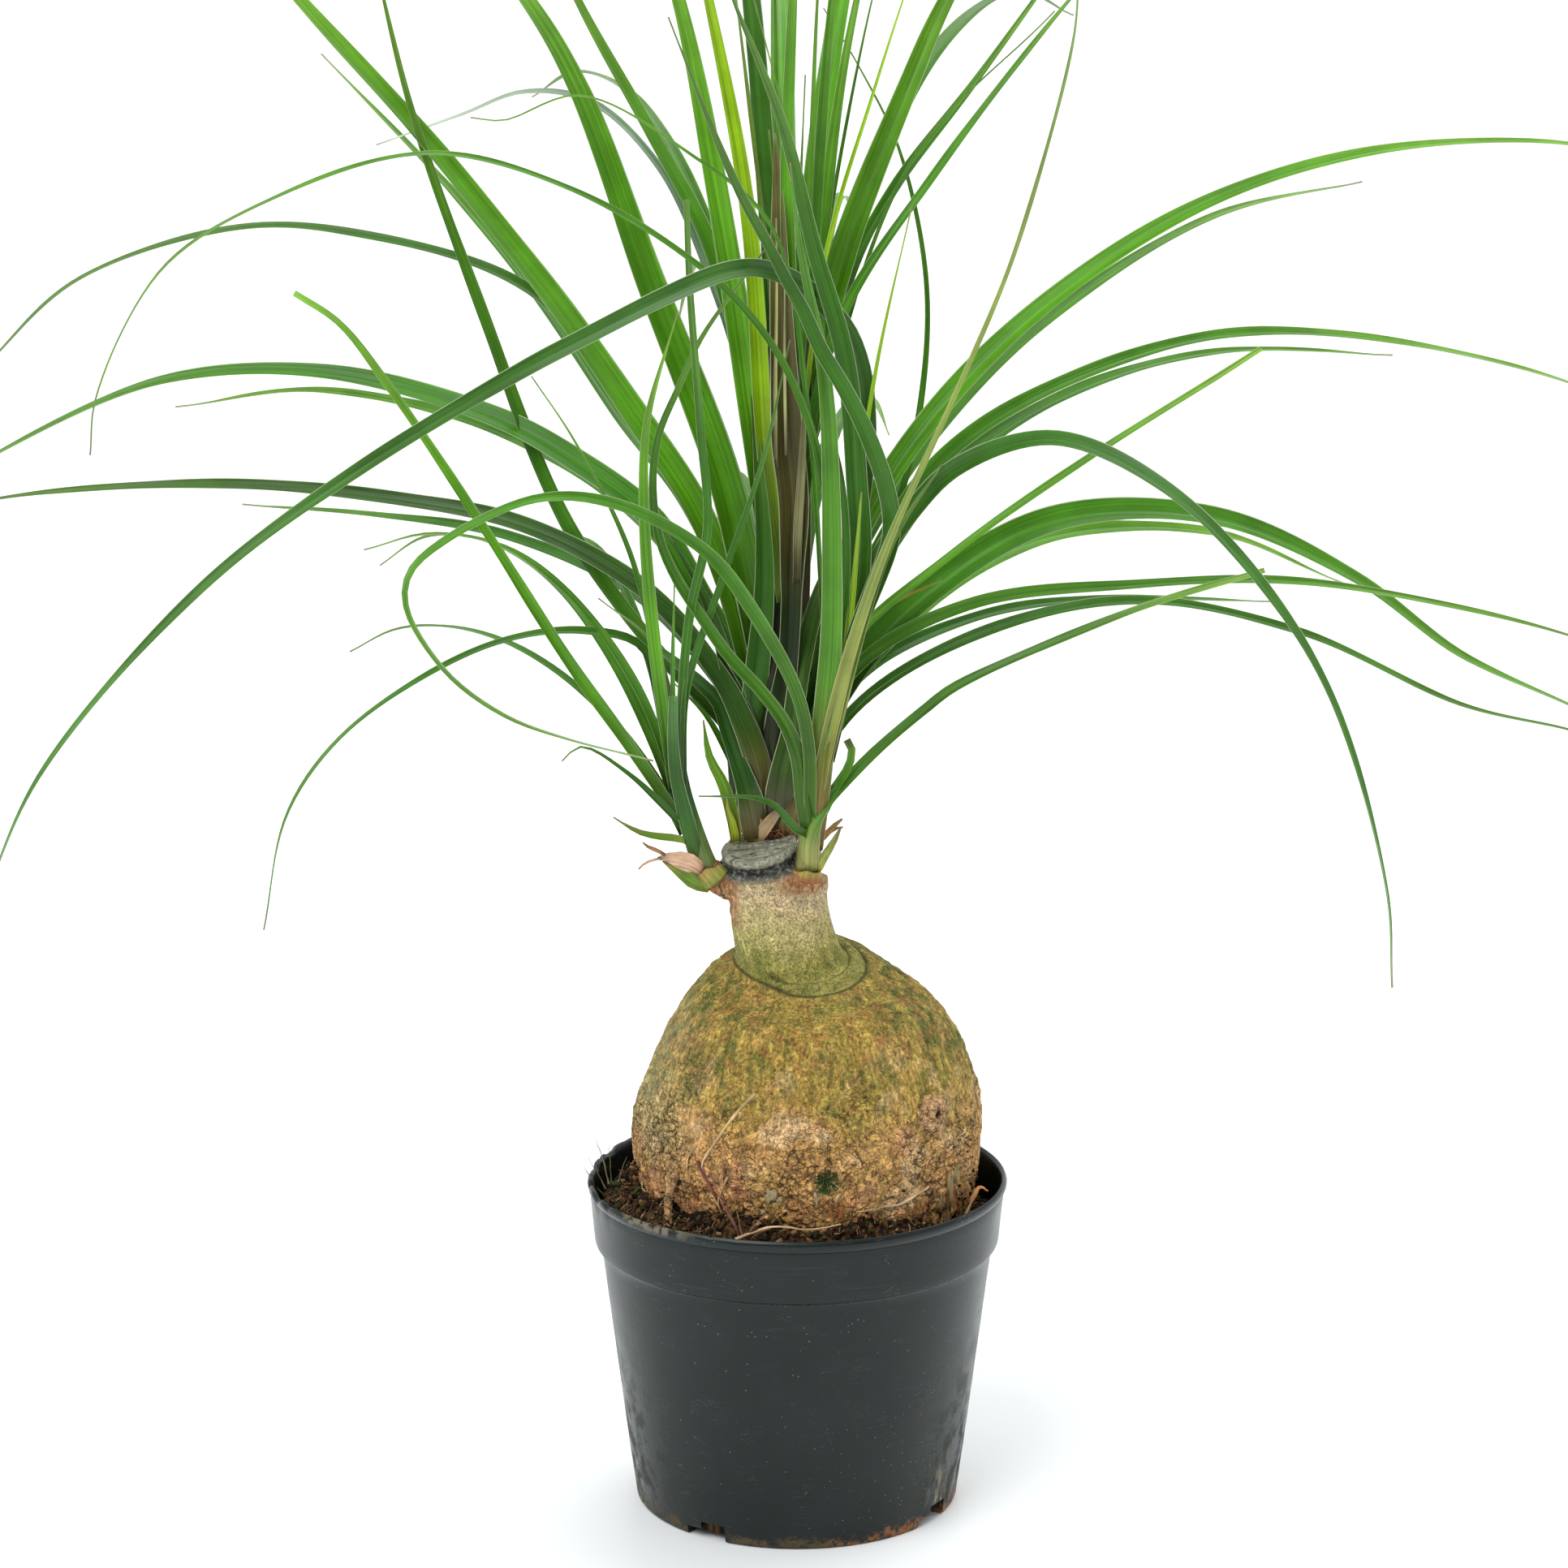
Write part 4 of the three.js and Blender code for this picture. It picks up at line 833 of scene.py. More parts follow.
# The leaves: width, lean, look, the route from the root to the tip, and options.
MAIN_LEAVES = [
    (10.5, (20, 35, 30), "bright", [
        (-5, 8, 12), (-12, 40, 14), (-19, 66, 18), (-30, 92, 24), (-51, 123, 34),
        (-77, 160, 48), (-114, 207, 62), (-160, 258, 75), (-215, 325, 92)]),
    (5.8, (20, 30, 20), "mid", [
        (-6, 2, 15), (-20, 20, 17), (-44, 46, 24), (-71, 84, 36), (-98, 151, 50),
        (-122, 220, 62), (-138, 285, 72)]),
    (5.6, (30, 45, 50), "dark", [
        (-6, 10, 16), (-18, 55, 20), (-28, 87, 27), (-51, 126, 40), (-84, 162, 56),
        (-138, 180, 74), (-178, 183, 80), (-231, 166, 78), (-258, 142, 70), (-275, 122, 64)]),
    (9.6, (10, 35, 60), "deep", [
        (0, 6, 13), (-10, 31, 13), (-26, 58, 18), (-44, 87, 26), (-71, 107, 36),
        (-98, 121, 46), (-151, 135, 58), (-204, 132, 60), (-258, 109, 50), (-280, 96, 44)]),
    (7, (10, 30, 40), "wine", [
        (-5.5, -17, 5), (-6.4, -5, 3.4), (-7.9, 5.3, 2.6), (-10, 12.2, 3.2), (-13.1, 19.7, 5.2),
        (-20.5, 34, 11), (-44, 62, 20),
        (-84, 84, 34), (-124, 93, 44), (-178, 98, 52), (-258, 94, 52), (-285, 86, 48)],
     {"foot": (10.4, 66), "wrap": 0.9, "blush": (14, 44)}),
    # a dark leaf with painted sheen on its pale grey middle and tip
    (4.8, (20, 40, 30), "silver_painted_sheen", [
        (-2, 40, 22), (-11, 122, 28), (-26, 170, 38), (-41, 202, 48), (-63, 224, 60),
        (-86, 227.5, 70), (-106, 220, 75), (-134, 210, 80)]),
    (6.2, (10, 20, 50), "base", [
        (-8.6, -18, 0.4), (-10.4, -9, -0.9), (-13, 0.5, 0.2), (-16.2, 9.5, 3), (-19, 18, 6),
        (-22, 27, 9), (-28, 33, 11), (-44, 47, 17)],
     {"widths": (10.4, 9.8, 7.4, 5.4, 5.2, 5.6, 5.4, 4, 1), "foot": (10.4, 16), "wrap": 0.9,
      "blush": (4, 20)}),
    (2.8, (20, 30, 40), "mid", [
        (-12, -4, 12), (-19, 11, 10), (-26, 23, 12), (-37, 34, 17)]),
    (6.6, (10, 20, 20), "mid", [
        (-2, 30, 18), (-10, 119, 20), (-24, 175, 28), (-44, 214, 38), (-68, 258, 50),
        (-92, 312, 66)]),
    (12, (5, 20, 30), "bright", [
        (-3, 20, 16), (-12, 66, 17), (-20, 100, 20), (-44, 164, 34), (-68, 228, 50),
        (-85, 258, 60), (-128, 310, 80)]),
    (9.2, (5, 10, 20), "fresh", [
        (-1, 50, 14), (-11, 124, 16), (-23, 199, 24), (-35, 258, 33), (-56, 322, 46)]),
    (6.2, (0, 10, 20), "lime", [
        (0, 60, 13), (-6, 108, 14), (-12, 188, 18), (-25, 258, 26), (-42, 330, 36)]),
    (2.4, (30, 40, 30), "violet", [
        (0, 80, 18), (-4, 156, 20), (-12, 228, 26), (-20, 290, 32)]),
    (2.4, (20, 30, 20), "mid", [
        (1, 90, 22), (-2, 178, 26), (-3, 258, 34), (-5, 300, 40)]),
    (1.6, (0, 0, 0), "mid", [
        (0, 110, 24), (-3, 191, 28), (-5, 215, 30)]),
    (12, (0, 0, 10), "purple", [
        (-4.5, -12, 8), (-1.6, 17, 8), (1.6, 44, 8.5), (2.7, 71, 9), (3.2, 92, 10), (1.1, 114, 11),
        (0, 138, 12), (-1.1, 163, 13), (-2, 195, 15), (-3, 214, 17)],
     {"widths": (12, 10, 6.6, 6.8, 9.8, 11, 9, 7, 4.6, 0.6), "foot": (12, 60), "wrap": 0.9,
      "blush": (66, 104)}),
    # a thin pale strip down the column's right side: a painted highlight
    (3.2, (0, 0, 0), "painted_highlight", [
        (4.2, 66, 8), (4.6, 84, 7.8), (5.6, 100, 8), (6.4, 116, 8.8), (7.2, 136, 10.2)]),
    (1.3, (0, 0, 0), "cream", [(-2.6, 104, 9.2), (-2.8, 130, 10.2), (-2.4, 163, 11.2), (-2.6, 186, 12)]),
    (1, (0, 0, 0), "cream", [(0.6, 108, 9.4), (0.2, 138, 10.4), (0.2, 168, 11.6)]),
    (7, (-30, -20, 0), "plum", [
        (1, -8, 18), (5, 60, 20), (7, 120, 22), (9, 170, 28)], {"side": 1}),
    (8.4, (10, 5, 0), "deep", [
        (-12, -12, 12), (-10.5, 20, 10), (-6.5, 66, 9.5), (-8, 100, 12), (-11, 130, 17)],
     {"side": -1, "foot": (9, 80), "wrap": 0.7, "tone": 0.72}),
    (8, (0, 30, 40), "foot", [
        (-1.6, -17, 2.2), (-1.5, -8, 0.8), (-0.8, -1, 0.8), (0.7, 7, 1.8), (2.7, 15, 3), (6.1, 38, 7.5),
        (11.2, 59, 13), (19, 78, 20)],
     {"side": 1, "widths": (10.6, 10.4, 8.4, 7.4, 7.8, 8, 7, 6, 4), "foot": (10.6, 18), "wrap": 0.9,
      "blush": (6, 28)}),
    (7, (0, 20, 30), "foot", [
        (-13, -16, 12), (-14, 6, 12), (-17, 30, 13), (-25, 58, 17), (-38, 82, 24)],
     {"side": -1, "foot": (10, 60), "wrap": 0.8}),
    (5.5, (0, 0, 20), "bright", [
        (3.5, 40, 16), (3.6, 90, 14.5), (2.5, 140, 14), (1, 199, 14), (3, 258, 10),
        (8, 340, 0)], {"side": 1}),
    (2.6, (0, 0, 0), "fresh", [
        (3, 40, 20), (4, 100, 20), (8, 183, 22), (11, 258, 22), (14, 300, 22)]),
    (5, (0, 10, 20), "mid", [
        (3, 30, 22), (4, 90, 24), (10, 178, 28), (16, 258, 34), (26, 335, 48)]),
    (6.2, (10, 20, 20), "fresh", [
        (3, 30, 24), (5, 90, 26), (12, 172, 32), (20, 236, 42), (33, 300, 56)]),
    (1.6, (0, 0, 0), "mid", [
        (3, 100, 30), (14, 180, 36), (29, 258, 48), (37, 286, 54)]),
    (1.8, (0, 0, 0), "lime", [
        (3, 90, 20), (14, 175, 22), (29, 226, 27), (48, 285, 34)]),
    (1.6, (0, 0, 0), "mid", [
        (2, 110, 18), (6, 210, 16), (7, 233, 14)]),
    (10.8, (0, 15, 20), "glow", [
        (2, 40, 18), (2, 71, 19), (9, 132, 26), (21, 178, 37), (42, 231, 53), (54, 258, 62),
        (90, 318, 86)]),
    (5.2, (20, 30, 30), "mid", [
        (2, 90, 30), (22, 167, 44), (36, 195, 54), (63, 231, 72), (100, 282, 98)]),
    (4, (20, 30, 30), "mid", [
        (2, 80, 18), (18, 151, 24), (49, 199, 32), (94, 258, 42), (120, 285, 48)]),
    (1.6, (0, 0, 0), "mid", [
        (2, 85, 26), (41, 203, 42), (89, 254, 58)]),
    (2.6, (10, 20, 20), "mid", [
        (4, 10, 26), (36, 87, 40), (45, 124, 48), (47, 164, 55), (38, 208, 61), (25, 235, 65),
        (13, 255, 68)], {"side": 1}),
    (9.4, (20, 40, 50), "bright", [
        (6, 20, 20), (25, 82, 26), (49, 120, 36), (89, 159, 52), (142, 192, 66),
        (196, 208, 72), (258, 210, 70), (285, 203, 66)]),
    (7.4, (30, 45, 60), "mid", [
        (5, 15, 24), (33, 79, 34), (52, 106, 44), (89, 130, 60), (142, 147, 78),
        (209, 144, 88), (258, 132, 84), (280, 122, 80)]),
    (3.8, (30, 40, 30), "fresh", [
        (4, 5, 14), (20, 44, 17), (54, 74, 24), (102, 108, 33), (157, 143, 42)], {"cut": True}),
    (11.6, (10, 40, 60), "leafy", [
        (2, 0, 22), (25, 40, 26), (49, 64, 33), (89, 86, 44), (142, 87, 54), (188, 67, 56),
        (222, 42, 50), (258, 26, 43), (272, 20, 40)]),
    (5.6, (20, 50, 40), "mid", [
        (3, -2, 18), (24, 38, 20), (62, 59, 27), (116, 65, 35), (169, 66, 38), (222, 58, 35),
        (258, 49, 30), (282, 40, 26)]),
    (5, (30, 45, 40), "dark", [
        (2, -8, 13), (25, 26, 12), (62, 48, 16), (116, 60, 20), (169, 50, 19), (222, 26, 15),
        (258, 18, 10), (276, 12, 8)]),
    (3, (0, 10, 20), "yellow", [
        (6, 14, 16), (30, 55, 22), (52, 67, 27)]),
]
RIGHT_LEAVES = [
    (7.2, (10, 20, 45), "blue", [
        (11, 10, -7), (19, 50, -7), (24, 87, -7), (26.5, 108, -7.5), (26.7, 121, -8), (25, 136, -9),
        (20.8, 147.7, -10.5), (15, 155.5, -12.5), (7, 162.5, -16), (-1, 167, -23), (-10, 169, -33),
        (-20, 167.5, -44), (-39, 159.5, -63), (-64, 147, -86), (-87, 135, -103), (-138, 104, -128),
        (-191, 64, -142), (-244, 4, -144), (-266, -46, -138)], {"side": -1}),
    (6.2, (-20, 10, 30), "dark", [
        (12, 12, -11), (24, 50, -15), (35, 80, -19), (35.2, 88, -20), (33.4, 97.6, -22),
        (27.7, 113.6, -25), (19.7, 129.6, -28), (11.7, 143, -30), (6.4, 155, -31.5),
        (0.5, 165.6, -33), (-5.6, 177.6, -35), (-14.4, 194, -39), (-25.6, 220, -45),
        (-38, 252, -52)], {"side": -1}),
    (4.6, (0, 20, 20), "mid", [
        (8, -15, -13), (6.1, -3, -14.5), (4.8, 8.3, -15), (0.3, 19.7, -15), (-7.2, 29.9, -14.5),
        (-18.7, 42.4, -14), (-27.5, 55, -14), (-36.3, 69, -14), (-41.3, 81.6, -14.5),
        (-43.2, 98, -15), (-41.3, 114.4, -15.5), (-35, 129.6, -16), (-27, 147, -17.5),
        (-6, 176, -20)], {"side": -1, "widths": (4.4, 4.6, 4.2, 4, 3.6, 3, 2.4, 2, 1.4, 0.5),
                          "foot": (6.5, 40)}),
    (7.4, (0, 0, 20), "dark", [
        (15, 15, -8), (25, 71, -10), (24, 98, -12), (20, 140, -15), (10, 175, -18),
        (-1, 218, -24), (-16, 256, -31), (-22, 272, -34)], {"side": -1}),
    (1.6, (0, 0, 0), "mid", [
        (14, 78, -11), (14, 130, -13), (9, 180, -15), (-2, 228, -20), (-10, 258, -26)]),
    (3, (10, 40, 40), "mid", [
        (14, 10, -9), (16, 71, -12), (14, 92, -14), (8, 119, -18), (-4, 144, -24),
        (-26, 168, -34), (-71, 196, -53), (-116, 207, -70), (-164, 194, -86), (-204, 170, -96),
        (-226, 127, -101), (-228, 108, -102)]),
    (1.9, (0, 30, 30), "mid", [
        (13, 50, -10), (8, 120, -16), (-4, 183, -27), (-31, 207, -39), (-67, 226, -54),
        (-92, 218, -64), (-103, 219, -68)]),
    (5, (0, 40, 60), "mid", [
        (8.5, -12, -12), (8, 12, -16), (4, 30, -19), (-10, 56, -28), (-26, 76, -40),
        (-58, 92, -60), (-82, 93, -70), (-111, 80, -80), (-123, 69, -87), (-124, 58, -91),
        (-111, 37, -103), (-92, 23, -110), (-71, 15, -116), (-43, 7.5, -122)]),
    (4.6, (0, 20, 30), "straw", [
        (10, -6, -11), (16.5, 23, -15), (22, 44, -18), (33, 76, -22), (56, 127, -28),
        (77, 178, -36), (95, 244, -47), (97, 272, -52)],
     {"widths": (4.6, 5, 3.8, 2.6, 2, 1.7, 1.6, 1.4, 1, 0.5)}),
    (3, (0, 20, 30), "straw", [
        (12, -2, -12), (20, 30, -16), (29, 62, -19), (38, 84, -21), (52, 105, -22)],
     {"widths": (3, 4, 3.6, 2.4, 0.5)}),
    (2.6, (0, 0, 20), "lime", [
        (11, 0, -12), (18, 30, -14), (22.5, 62, -15), (25.5, 96, -15)], {"widths": (2, 3, 2.2, 0.5)}),
    (4.2, (20, 40, 40), "sprout", [
        (7.2, -28.5, -11), (7.3, -25, -12.4), (7.3, -20.5, -13), (8.2, -16, -13.6),
        (10.7, -11, -13.2), (14, -6.7, -11.5), (19.6, -0.4, -8.6), (30.4, 10.4, -4), (46.4, 24, 0),
        (57, 32, 2), (110, 55, 6), (158, 70, 8)],
     {"cut": True, "foot": (9.8, 27), "wrap": 1.3, "blush": (2, 22)}),
    (6.8, (0, 35, 60), "blue", [
        (14, 8, -8), (30, 71, -9), (41, 88, -14), (57, 104, -24), (89, 113, -45),
        (126, 96, -72), (158, 64, -95), (180, 28, -110), (198, -36, -121), (200, -67, -123)]),
    (2.1, (0, 0, 0), "lime", [
        (16, 20, -6), (21, 71, -7), (30, 135, -10), (42, 190, -14)]),
    (7.4, (0, 0, 0), "brown", [
        (8.6, -22, -10.5), (10.4, -8, -13), (12.3, 9.6, -14), (13.8, 25.6, -15), (15.3, 44, -16),
        (15.8, 70, -17), (13.5, 132, -20), (5, 178, -25), (2, 204, -28)],
     {"side": -1, "foot": (9.5, 80), "wrap": 0.9}),
    (3.4, (10, 10, 10), "dark", [
        (14, 20, -12), (20, 60, -15), (19, 100, -17), (12, 128, -20)], {"side": 1}),
    (2.4, (0, 10, 10), "mid", [
        (11, -12, -10), (16.5, -1.5, -9), (20.3, 4, -8.4), (22.3, 9.4, -8), (21.9, 13.2, -7.8),
        (20.7, 14.6, -7)],
     {"side": 1, "widths": (4, 3.4, 3, 2.8, 2.7, 2.5), "foot": (5, 12)}),
    (3, (0, 40, 60), "dark", [
        (9, -17, -11), (4, -15, -16), (1, -12, -19), (-4, -7, -23), (-10, -5, -26),
        (-28, -4, -32)]),
]
LEFT_LEAVES = [
    (4.6, (10, 40, 40), "bright", [
        (-33, -16, -6), (-36, -10, -8), (-50, 11, -14), (-68, 36, -23), (-98, 82, -37),
        (-131, 132, -51), (-146, 151, -57), (-161, 161, -62)], {"cut": True}),
    (3.3, (10, 40, 50), "mid", [
        (-34, -12, -4), (-40, 12, -6), (-51, 36, -10), (-71, 63, -19), (-92, 78, -28),
        (-116, 82, -38), (-138, 77, -46)]),
    (3.3, (10, 45, 50), "dark", [
        (-35, -10, -2), (-39, 10, 0), (-42, 30, 2), (-47, 45, 1), (-66, 50, -8),
        (-92, 47, -22), (-119, 35, -37), (-146, 15, -48), (-163, -10, -54), (-171, -48, -57)]),
    (2.2, (0, 20, 20), "mid", [
        (-36, 0, -6), (-40, 28, -6), (-50, 74, -9), (-68, 111, -16), (-83, 134, -22)]),
    (2.5, (0, 40, 60), "dark", [
        (-33, -15, -7), (-36, -11, -12), (-52, 4, -22), (-67, 12, -31), (-73, 7.5, -35)]),
    (2.2, (0, 20, 20), "pale", [
        (-36, 5, -3), (-38, 31, -3), (-44, 47, -5), (-61, 61, -14)]),
    (3.3, (10, 10, 10), "dark", [
        (-34, -8, -7), (-34, 18, -10), (-31, 55, -14), (-25, 84, -18), (-27, 114, -22),
        (-31, 164, -29), (-32, 192, -33)], {"cut": True, "side": 1}),
    (4.6, (0, 0, 10), "fresh", [
        (-36, -2, -6), (-40, 26, -9), (-44, 60, -13), (-46, 92, -17), (-45, 119, -21),
        (-35, 155, -28)], {"side": 1}),
    (2.6, (0, 0, 10), "dark", [
        (-33, 0, -9), (-32, 31, -11), (-20, 68, -12), (-7, 106, -11), (2, 146, -9)], {"side": 1}),
    (5, (0, 0, 0), "blue", [
        (-27.8, -27, -6), (-29.8, -20, -9.5), (-32.8, -9, -11), (-35.7, 4.3, -13),
        (-36.5, 17.6, -14.5), (-36.4, 29, -16)],
     {"cut": True, "side": -1, "foot": (6.4, 28), "tone": 1.15}),
    (2.6, (0, 20, 20), "bract", [
        (-30, -20, -7), (-34, -18, -9), (-39, -17.5, -11), (-47, -16, -15), (-56, -11, -20)]),
    (1.8, (0, 0, 0), "mid", [
        (-35, 5, -10), (-36.5, 31, -11), (-36, 67, -13)], {"side": 1}),
]

# Behind, the crown is as full as in front. These leaves go nearly straight back.
CROWN_MIDDLE = np.array((-4.0, 16, 262))
BACK_LEAVES = [
    # bearing, length, rise, droop, width
    (64, 390, 84, 112, 10), (76, 205, 68, 118, 8), (84, 340, 60, 104, 7), (91, 410, 82, 126, 10),
    (98, 200, 54, 96, 6), (101, 290, 72, 128, 8), (115, 330, 80, 112, 8), (88, 200, 70, 60, 5),
    (71, 420, 87, 62, 9), (104, 430, 86, 54, 9)]
BACK_LOOKS = ("bright", "fresh", "mid", "leafy", "dark")

# These lie behind a leaf that the front shows, and swing further back with it.
BACK_TWINS = [
    # reach, width, look, then the same places as the leaf in front
    (120, 8, "leafy", [(-6, 6, 15), (-19, 64, 22), (-32, 92, 30), (-54, 121, 42), (-79, 157, 56),
                       (-115, 201, 70), (-152, 240, 84)]),
    (130, 7, "mid", [(-2, 8, 15), (-12, 34, 19), (-46, 86, 34), (-98, 117, 52), (-151, 129, 66),
                     (-200, 124, 70)]),
    (100, 6, "dark", [(-4, 4, 14), (-22, 34, 20), (-48, 62, 30), (-90, 81, 44), (-134, 88, 56),
                      (-178, 92, 64)]),
    (130, 8, "mid", [(0, 20, 16), (25, 78, 32), (50, 116, 44), (89, 154, 60), (140, 186, 76),
                     (190, 198, 84)]),
    (110, 7, "leafy", [(0, 12, 17), (34, 76, 42), (54, 102, 52), (90, 126, 68), (142, 142, 88),
                       (200, 141, 96)]),
    (120, 8, "fresh", [(-1, 4, 16), (26, 38, 31), (52, 63, 42), (92, 82, 56), (142, 82, 66),
                       (184, 66, 70)]),
    (90, 5, "dark", [(-1, 0, 15), (26, 36, 27), (64, 55, 36), (116, 61, 46), (160, 60, 50)])]
LEFT_SHOOT_HEART = (-38.5, -4, 236)
LEFT_BACK_LEAVES = [(134, 190, 60, 104, 4.5), (112, 160, 66, 104, 4), (152, 150, 52, 92, 4)]
CROWN_CORE = ((-8, 12.5, 222.4), (-7.5, 13, 240), (-6, 14, 270), (-4, 17, 305), (-2, 20, 350),
              (0, 22, 395))
RIGHT_CORE = ((2.8, -7.7, 219), (4, -8, 227), (4.7, -8.3, 240), (7, -8.8, 256), (9.5, -9.3, 272),
              (11.5, -10, 290), (13, -12, 340))
LEFT_CORE = ((-28, -4.2, 216), (-31, -4.5, 223), (-34, -5, 232), (-37, -5.3, 244), (-39.5, -5.5, 266))


def twin(pile, reach, width, look, route):
    """A leaf that lies behind one that the front shows, and swings further back."""
    last = len(route) - 1
    swung = [(across, up, back + reach * (index / last) ** 1.5)
             for index, (across, up, back) in enumerate(route)]
    leaf(pile, width, (20, 40, 50), look, swung)


def core(pile, route, radii, codes):
    """The inner stem of a shoot, ribbed like the leaf feet that wrap it."""
    path, run = smooth_path(route, 2.5)
    share = run / run[-1]
    radius = even_steps(share, radii) - 0.5
    sides = 28
    place, faces = tube(path, radius, sides)
    angle = np.tile(np.arange(sides) / sides * 2 * math.pi, len(path))
    middle = np.repeat(path, sides, axis=0)
    rib = 1 + 0.05 * np.sin(angle * 5 + np.repeat(run, sides) / 9)
    place = middle + (place - middle) * rib[:, None]
    low, high = (colour(code) for code in codes)
    shade = blend(low, high, ramp(np.repeat(run, sides), 2, 30))
    pile.add(place, faces, shade=shade, along=np.repeat(run * MM, sides),
             across=angle * np.repeat(radius, sides) * MM)


# The main crown stands behind the sawn trunk.
living = leaf_skin()
crown = Pile()
core(crown, CROWN_CORE, (8, 7.4, 6, 4.6, 3.4, 2.0), ("#5d4632", "#333a22"))
for entry in MAIN_LEAVES:
    leaf(crown, *entry)
for index, (bearing, length, rise, droop, width) in enumerate(BACK_LEAVES):
    start = CROWN_MIDDLE + UP * ((index % 4) * 11 - 12)
    arching(crown, start, bearing, length, rise, droop, width, rng.choice(BACK_LOOKS))
for entry in BACK_TWINS:
    twin(crown, *entry)
crown.build("main_crown_leaves", living, "leaf_dark", "main_crown")

right = Pile()
core(right, RIGHT_CORE, (4.4, 4.6, 4.0, 3.4, 2.8, 2.2, 1.2), ("#9a9a58", "#5a6a34"))
for entry in RIGHT_LEAVES:
    leaf(right, *entry)
right.build("right_shoot_leaves", living, "leaf_mid", "right_shoot")

left = Pile()
core(left, LEFT_CORE, (4, 3.8, 3.4, 2.6, 1.6), ("#7f9450", "#3d6a30"))
for entry in LEFT_LEAVES:
    leaf(left, *entry)
for bearing, length, rise, droop, width in LEFT_BACK_LEAVES:
    arching(left, LEFT_SHOOT_HEART, bearing, length, rise, droop, width, "mid")
left.build("left_shoot_leaves", living, "leaf_light", "left_shoot")

dying = Pile()
leaf(dying, 4.6, (0, 0, 0), "dying", [(-15.5, -20, 3), (-17, -10, 2), (-20, 0, 1), (-24.5, 9, 0),
                                      (-26.5, 21, 0)], {"side": -1})
leaf(dying, 2.6, (0, 0, 0), "yellow", [(-15.5, -20, 3), (-17, -12, 1.6), (-18.5, -8, 1),
                                       (-19, -4, 0.6)], {"side": -1})
dying.build("dying_leaf", living, "leaf_yellow", "yellow_leaf")

# ------------------------------------------------------------------------- caudex

BULB_PROFILE = [
    (16, 52), (40, 68), (51, 88), (56, 110), (BULB_RADIUS, BULB_HEIGHT), (56.4, 140), (53, 150.5),
    (47.5, 162), (40, 174), (32, 181.6), (26, 186.4), (23.4, 188.1), (21.9, 187.9), (21.2, 188.3),
    (20.9, 189.5), (20.1, 190.5), (18.9, 190.6), (18.1, 189.4), (17.5, 190.6), (17, 195), (16.2, 203),
    (NECK_RADIUS, 210), (13, NECK_TOP)]
BULB_FOOT = 52
COLLAR_START = 10  # where the collar begins in the profile
# The arms, the bump at the right and the root: a route each, and the radii along it.
LIMBS = (
    (((-9, 7, 206), (-8.5, 11, 215), (-8, 13, 222.5)), (12, 11.5, 9.5)),
    (((-16, -2, 211.5), (-24.5, -3.4, 215), (-29.5, -4.3, 217.5)), (6.5, 5.8, 4.8)),
    (((-2, -4, 207), (1.2, -6.5, 214), (2.9, -7.6, 219.5)), (7.5, 6.6, 5.0)),
    (((3, -1, 205), (6.6, -0.5, 211), (7.2, -0.4, 216)), (5, 3.8, 3.0)),
    (((-37.5, -31, 125), (-41.3, -39.5, 121), (-42, -42, 114), (-41, -42.5, 108), (-39.5, -41.5, 98)),
     (2.6, 1.7, 1.6, 1.6, 1.8)))
THICK_ROOT = LIMBS[-1][0]
KNOT = np.array((44.8, -35.4, 144.4))
KNOT_RADIUS = 2.6
KNOT_THICKNESS = 1.3
KNOT_BEARING = 0.98
# the middle of a pale spot on the bulb's front, which is a painted highlight
PAINTED_HIGHLIGHT_SPOT = np.array((-4.6, -54, 145))
NECK_SHIFT = 9.8  # how far the neck stands to the left of the bulb
FOLD_SHIFT = 1.3  # and how far the fold of its collar is back to the right
COLLAR_DROP = 2.9
COLLAR_TILT = 5.0
COLLAR_REACH = 21
BULB_SIDES = 160
TRUNK_SIDES = 96
LIMB_SIDES = 28
SKIN_CELL = 0.72  # spacing of the skin mesh
SOFTEN_ROUNDS = 4


def mid_of_neck(height):
    return BULB_OFFSET - NECK_SHIFT * ramp(height, 168, 208)


def tilt_collar(points, way=1):
    """Tilts the collar down towards the front, or back again with way at -1."""
    x, y, z = points.T
    out = np.hypot(x - mid_of_neck(z), y)
    share = ramp(out, 44, 24) * ramp(z, 206, 191) * ramp(z, 160, 172)
    moved = points.copy()
    moved[:, 2] -= way * share * (COLLAR_DROP - COLLAR_TILT * np.clip(y / COLLAR_REACH, -1.1, 1.1))
    return moved


def bulb_form():
    """The smooth bulb and neck, lobed as the solid is."""
    rings = np.array(BULB_PROFILE, float)
    spine = np.column_stack([rings[:, 0], np.zeros(len(rings)), rings[:, 1]])
    belly, _ = smooth_path(spine[:COLLAR_START + 1], 2.0)
    collar, _ = smooth_path(spine[COLLAR_START:], 0.6)
    profile = np.vstack([belly, collar[1:]])[:, (0, 2)]
    points, faces = turned(np.vstack([[0, BULB_FOOT], profile, [0, NECK_TOP]]), BULB_SIDES)
    radius = np.hypot(points[:, 0], points[:, 1])
    angle = np.arctan2(points[:, 1], points[:, 0])
    z = points[:, 2]
    lobes = (0.011 * np.sin(2 * angle + 0.8) + 0.012 * np.sin(3 * angle + z / 21)
             + 0.008 * np.sin(7 * angle - z / 9) * ramp(radius, 20, 50))
    points[:, :2] *= (1 + lobes)[:, None]
    fold = ramp(z, 183, 187) * ramp(z, 193, 191) * ramp(radius, 17.8, 19.6)
    points[:, 0] += mid_of_neck(z) + FOLD_SHIFT * fold
    return tilt_collar(points), faces


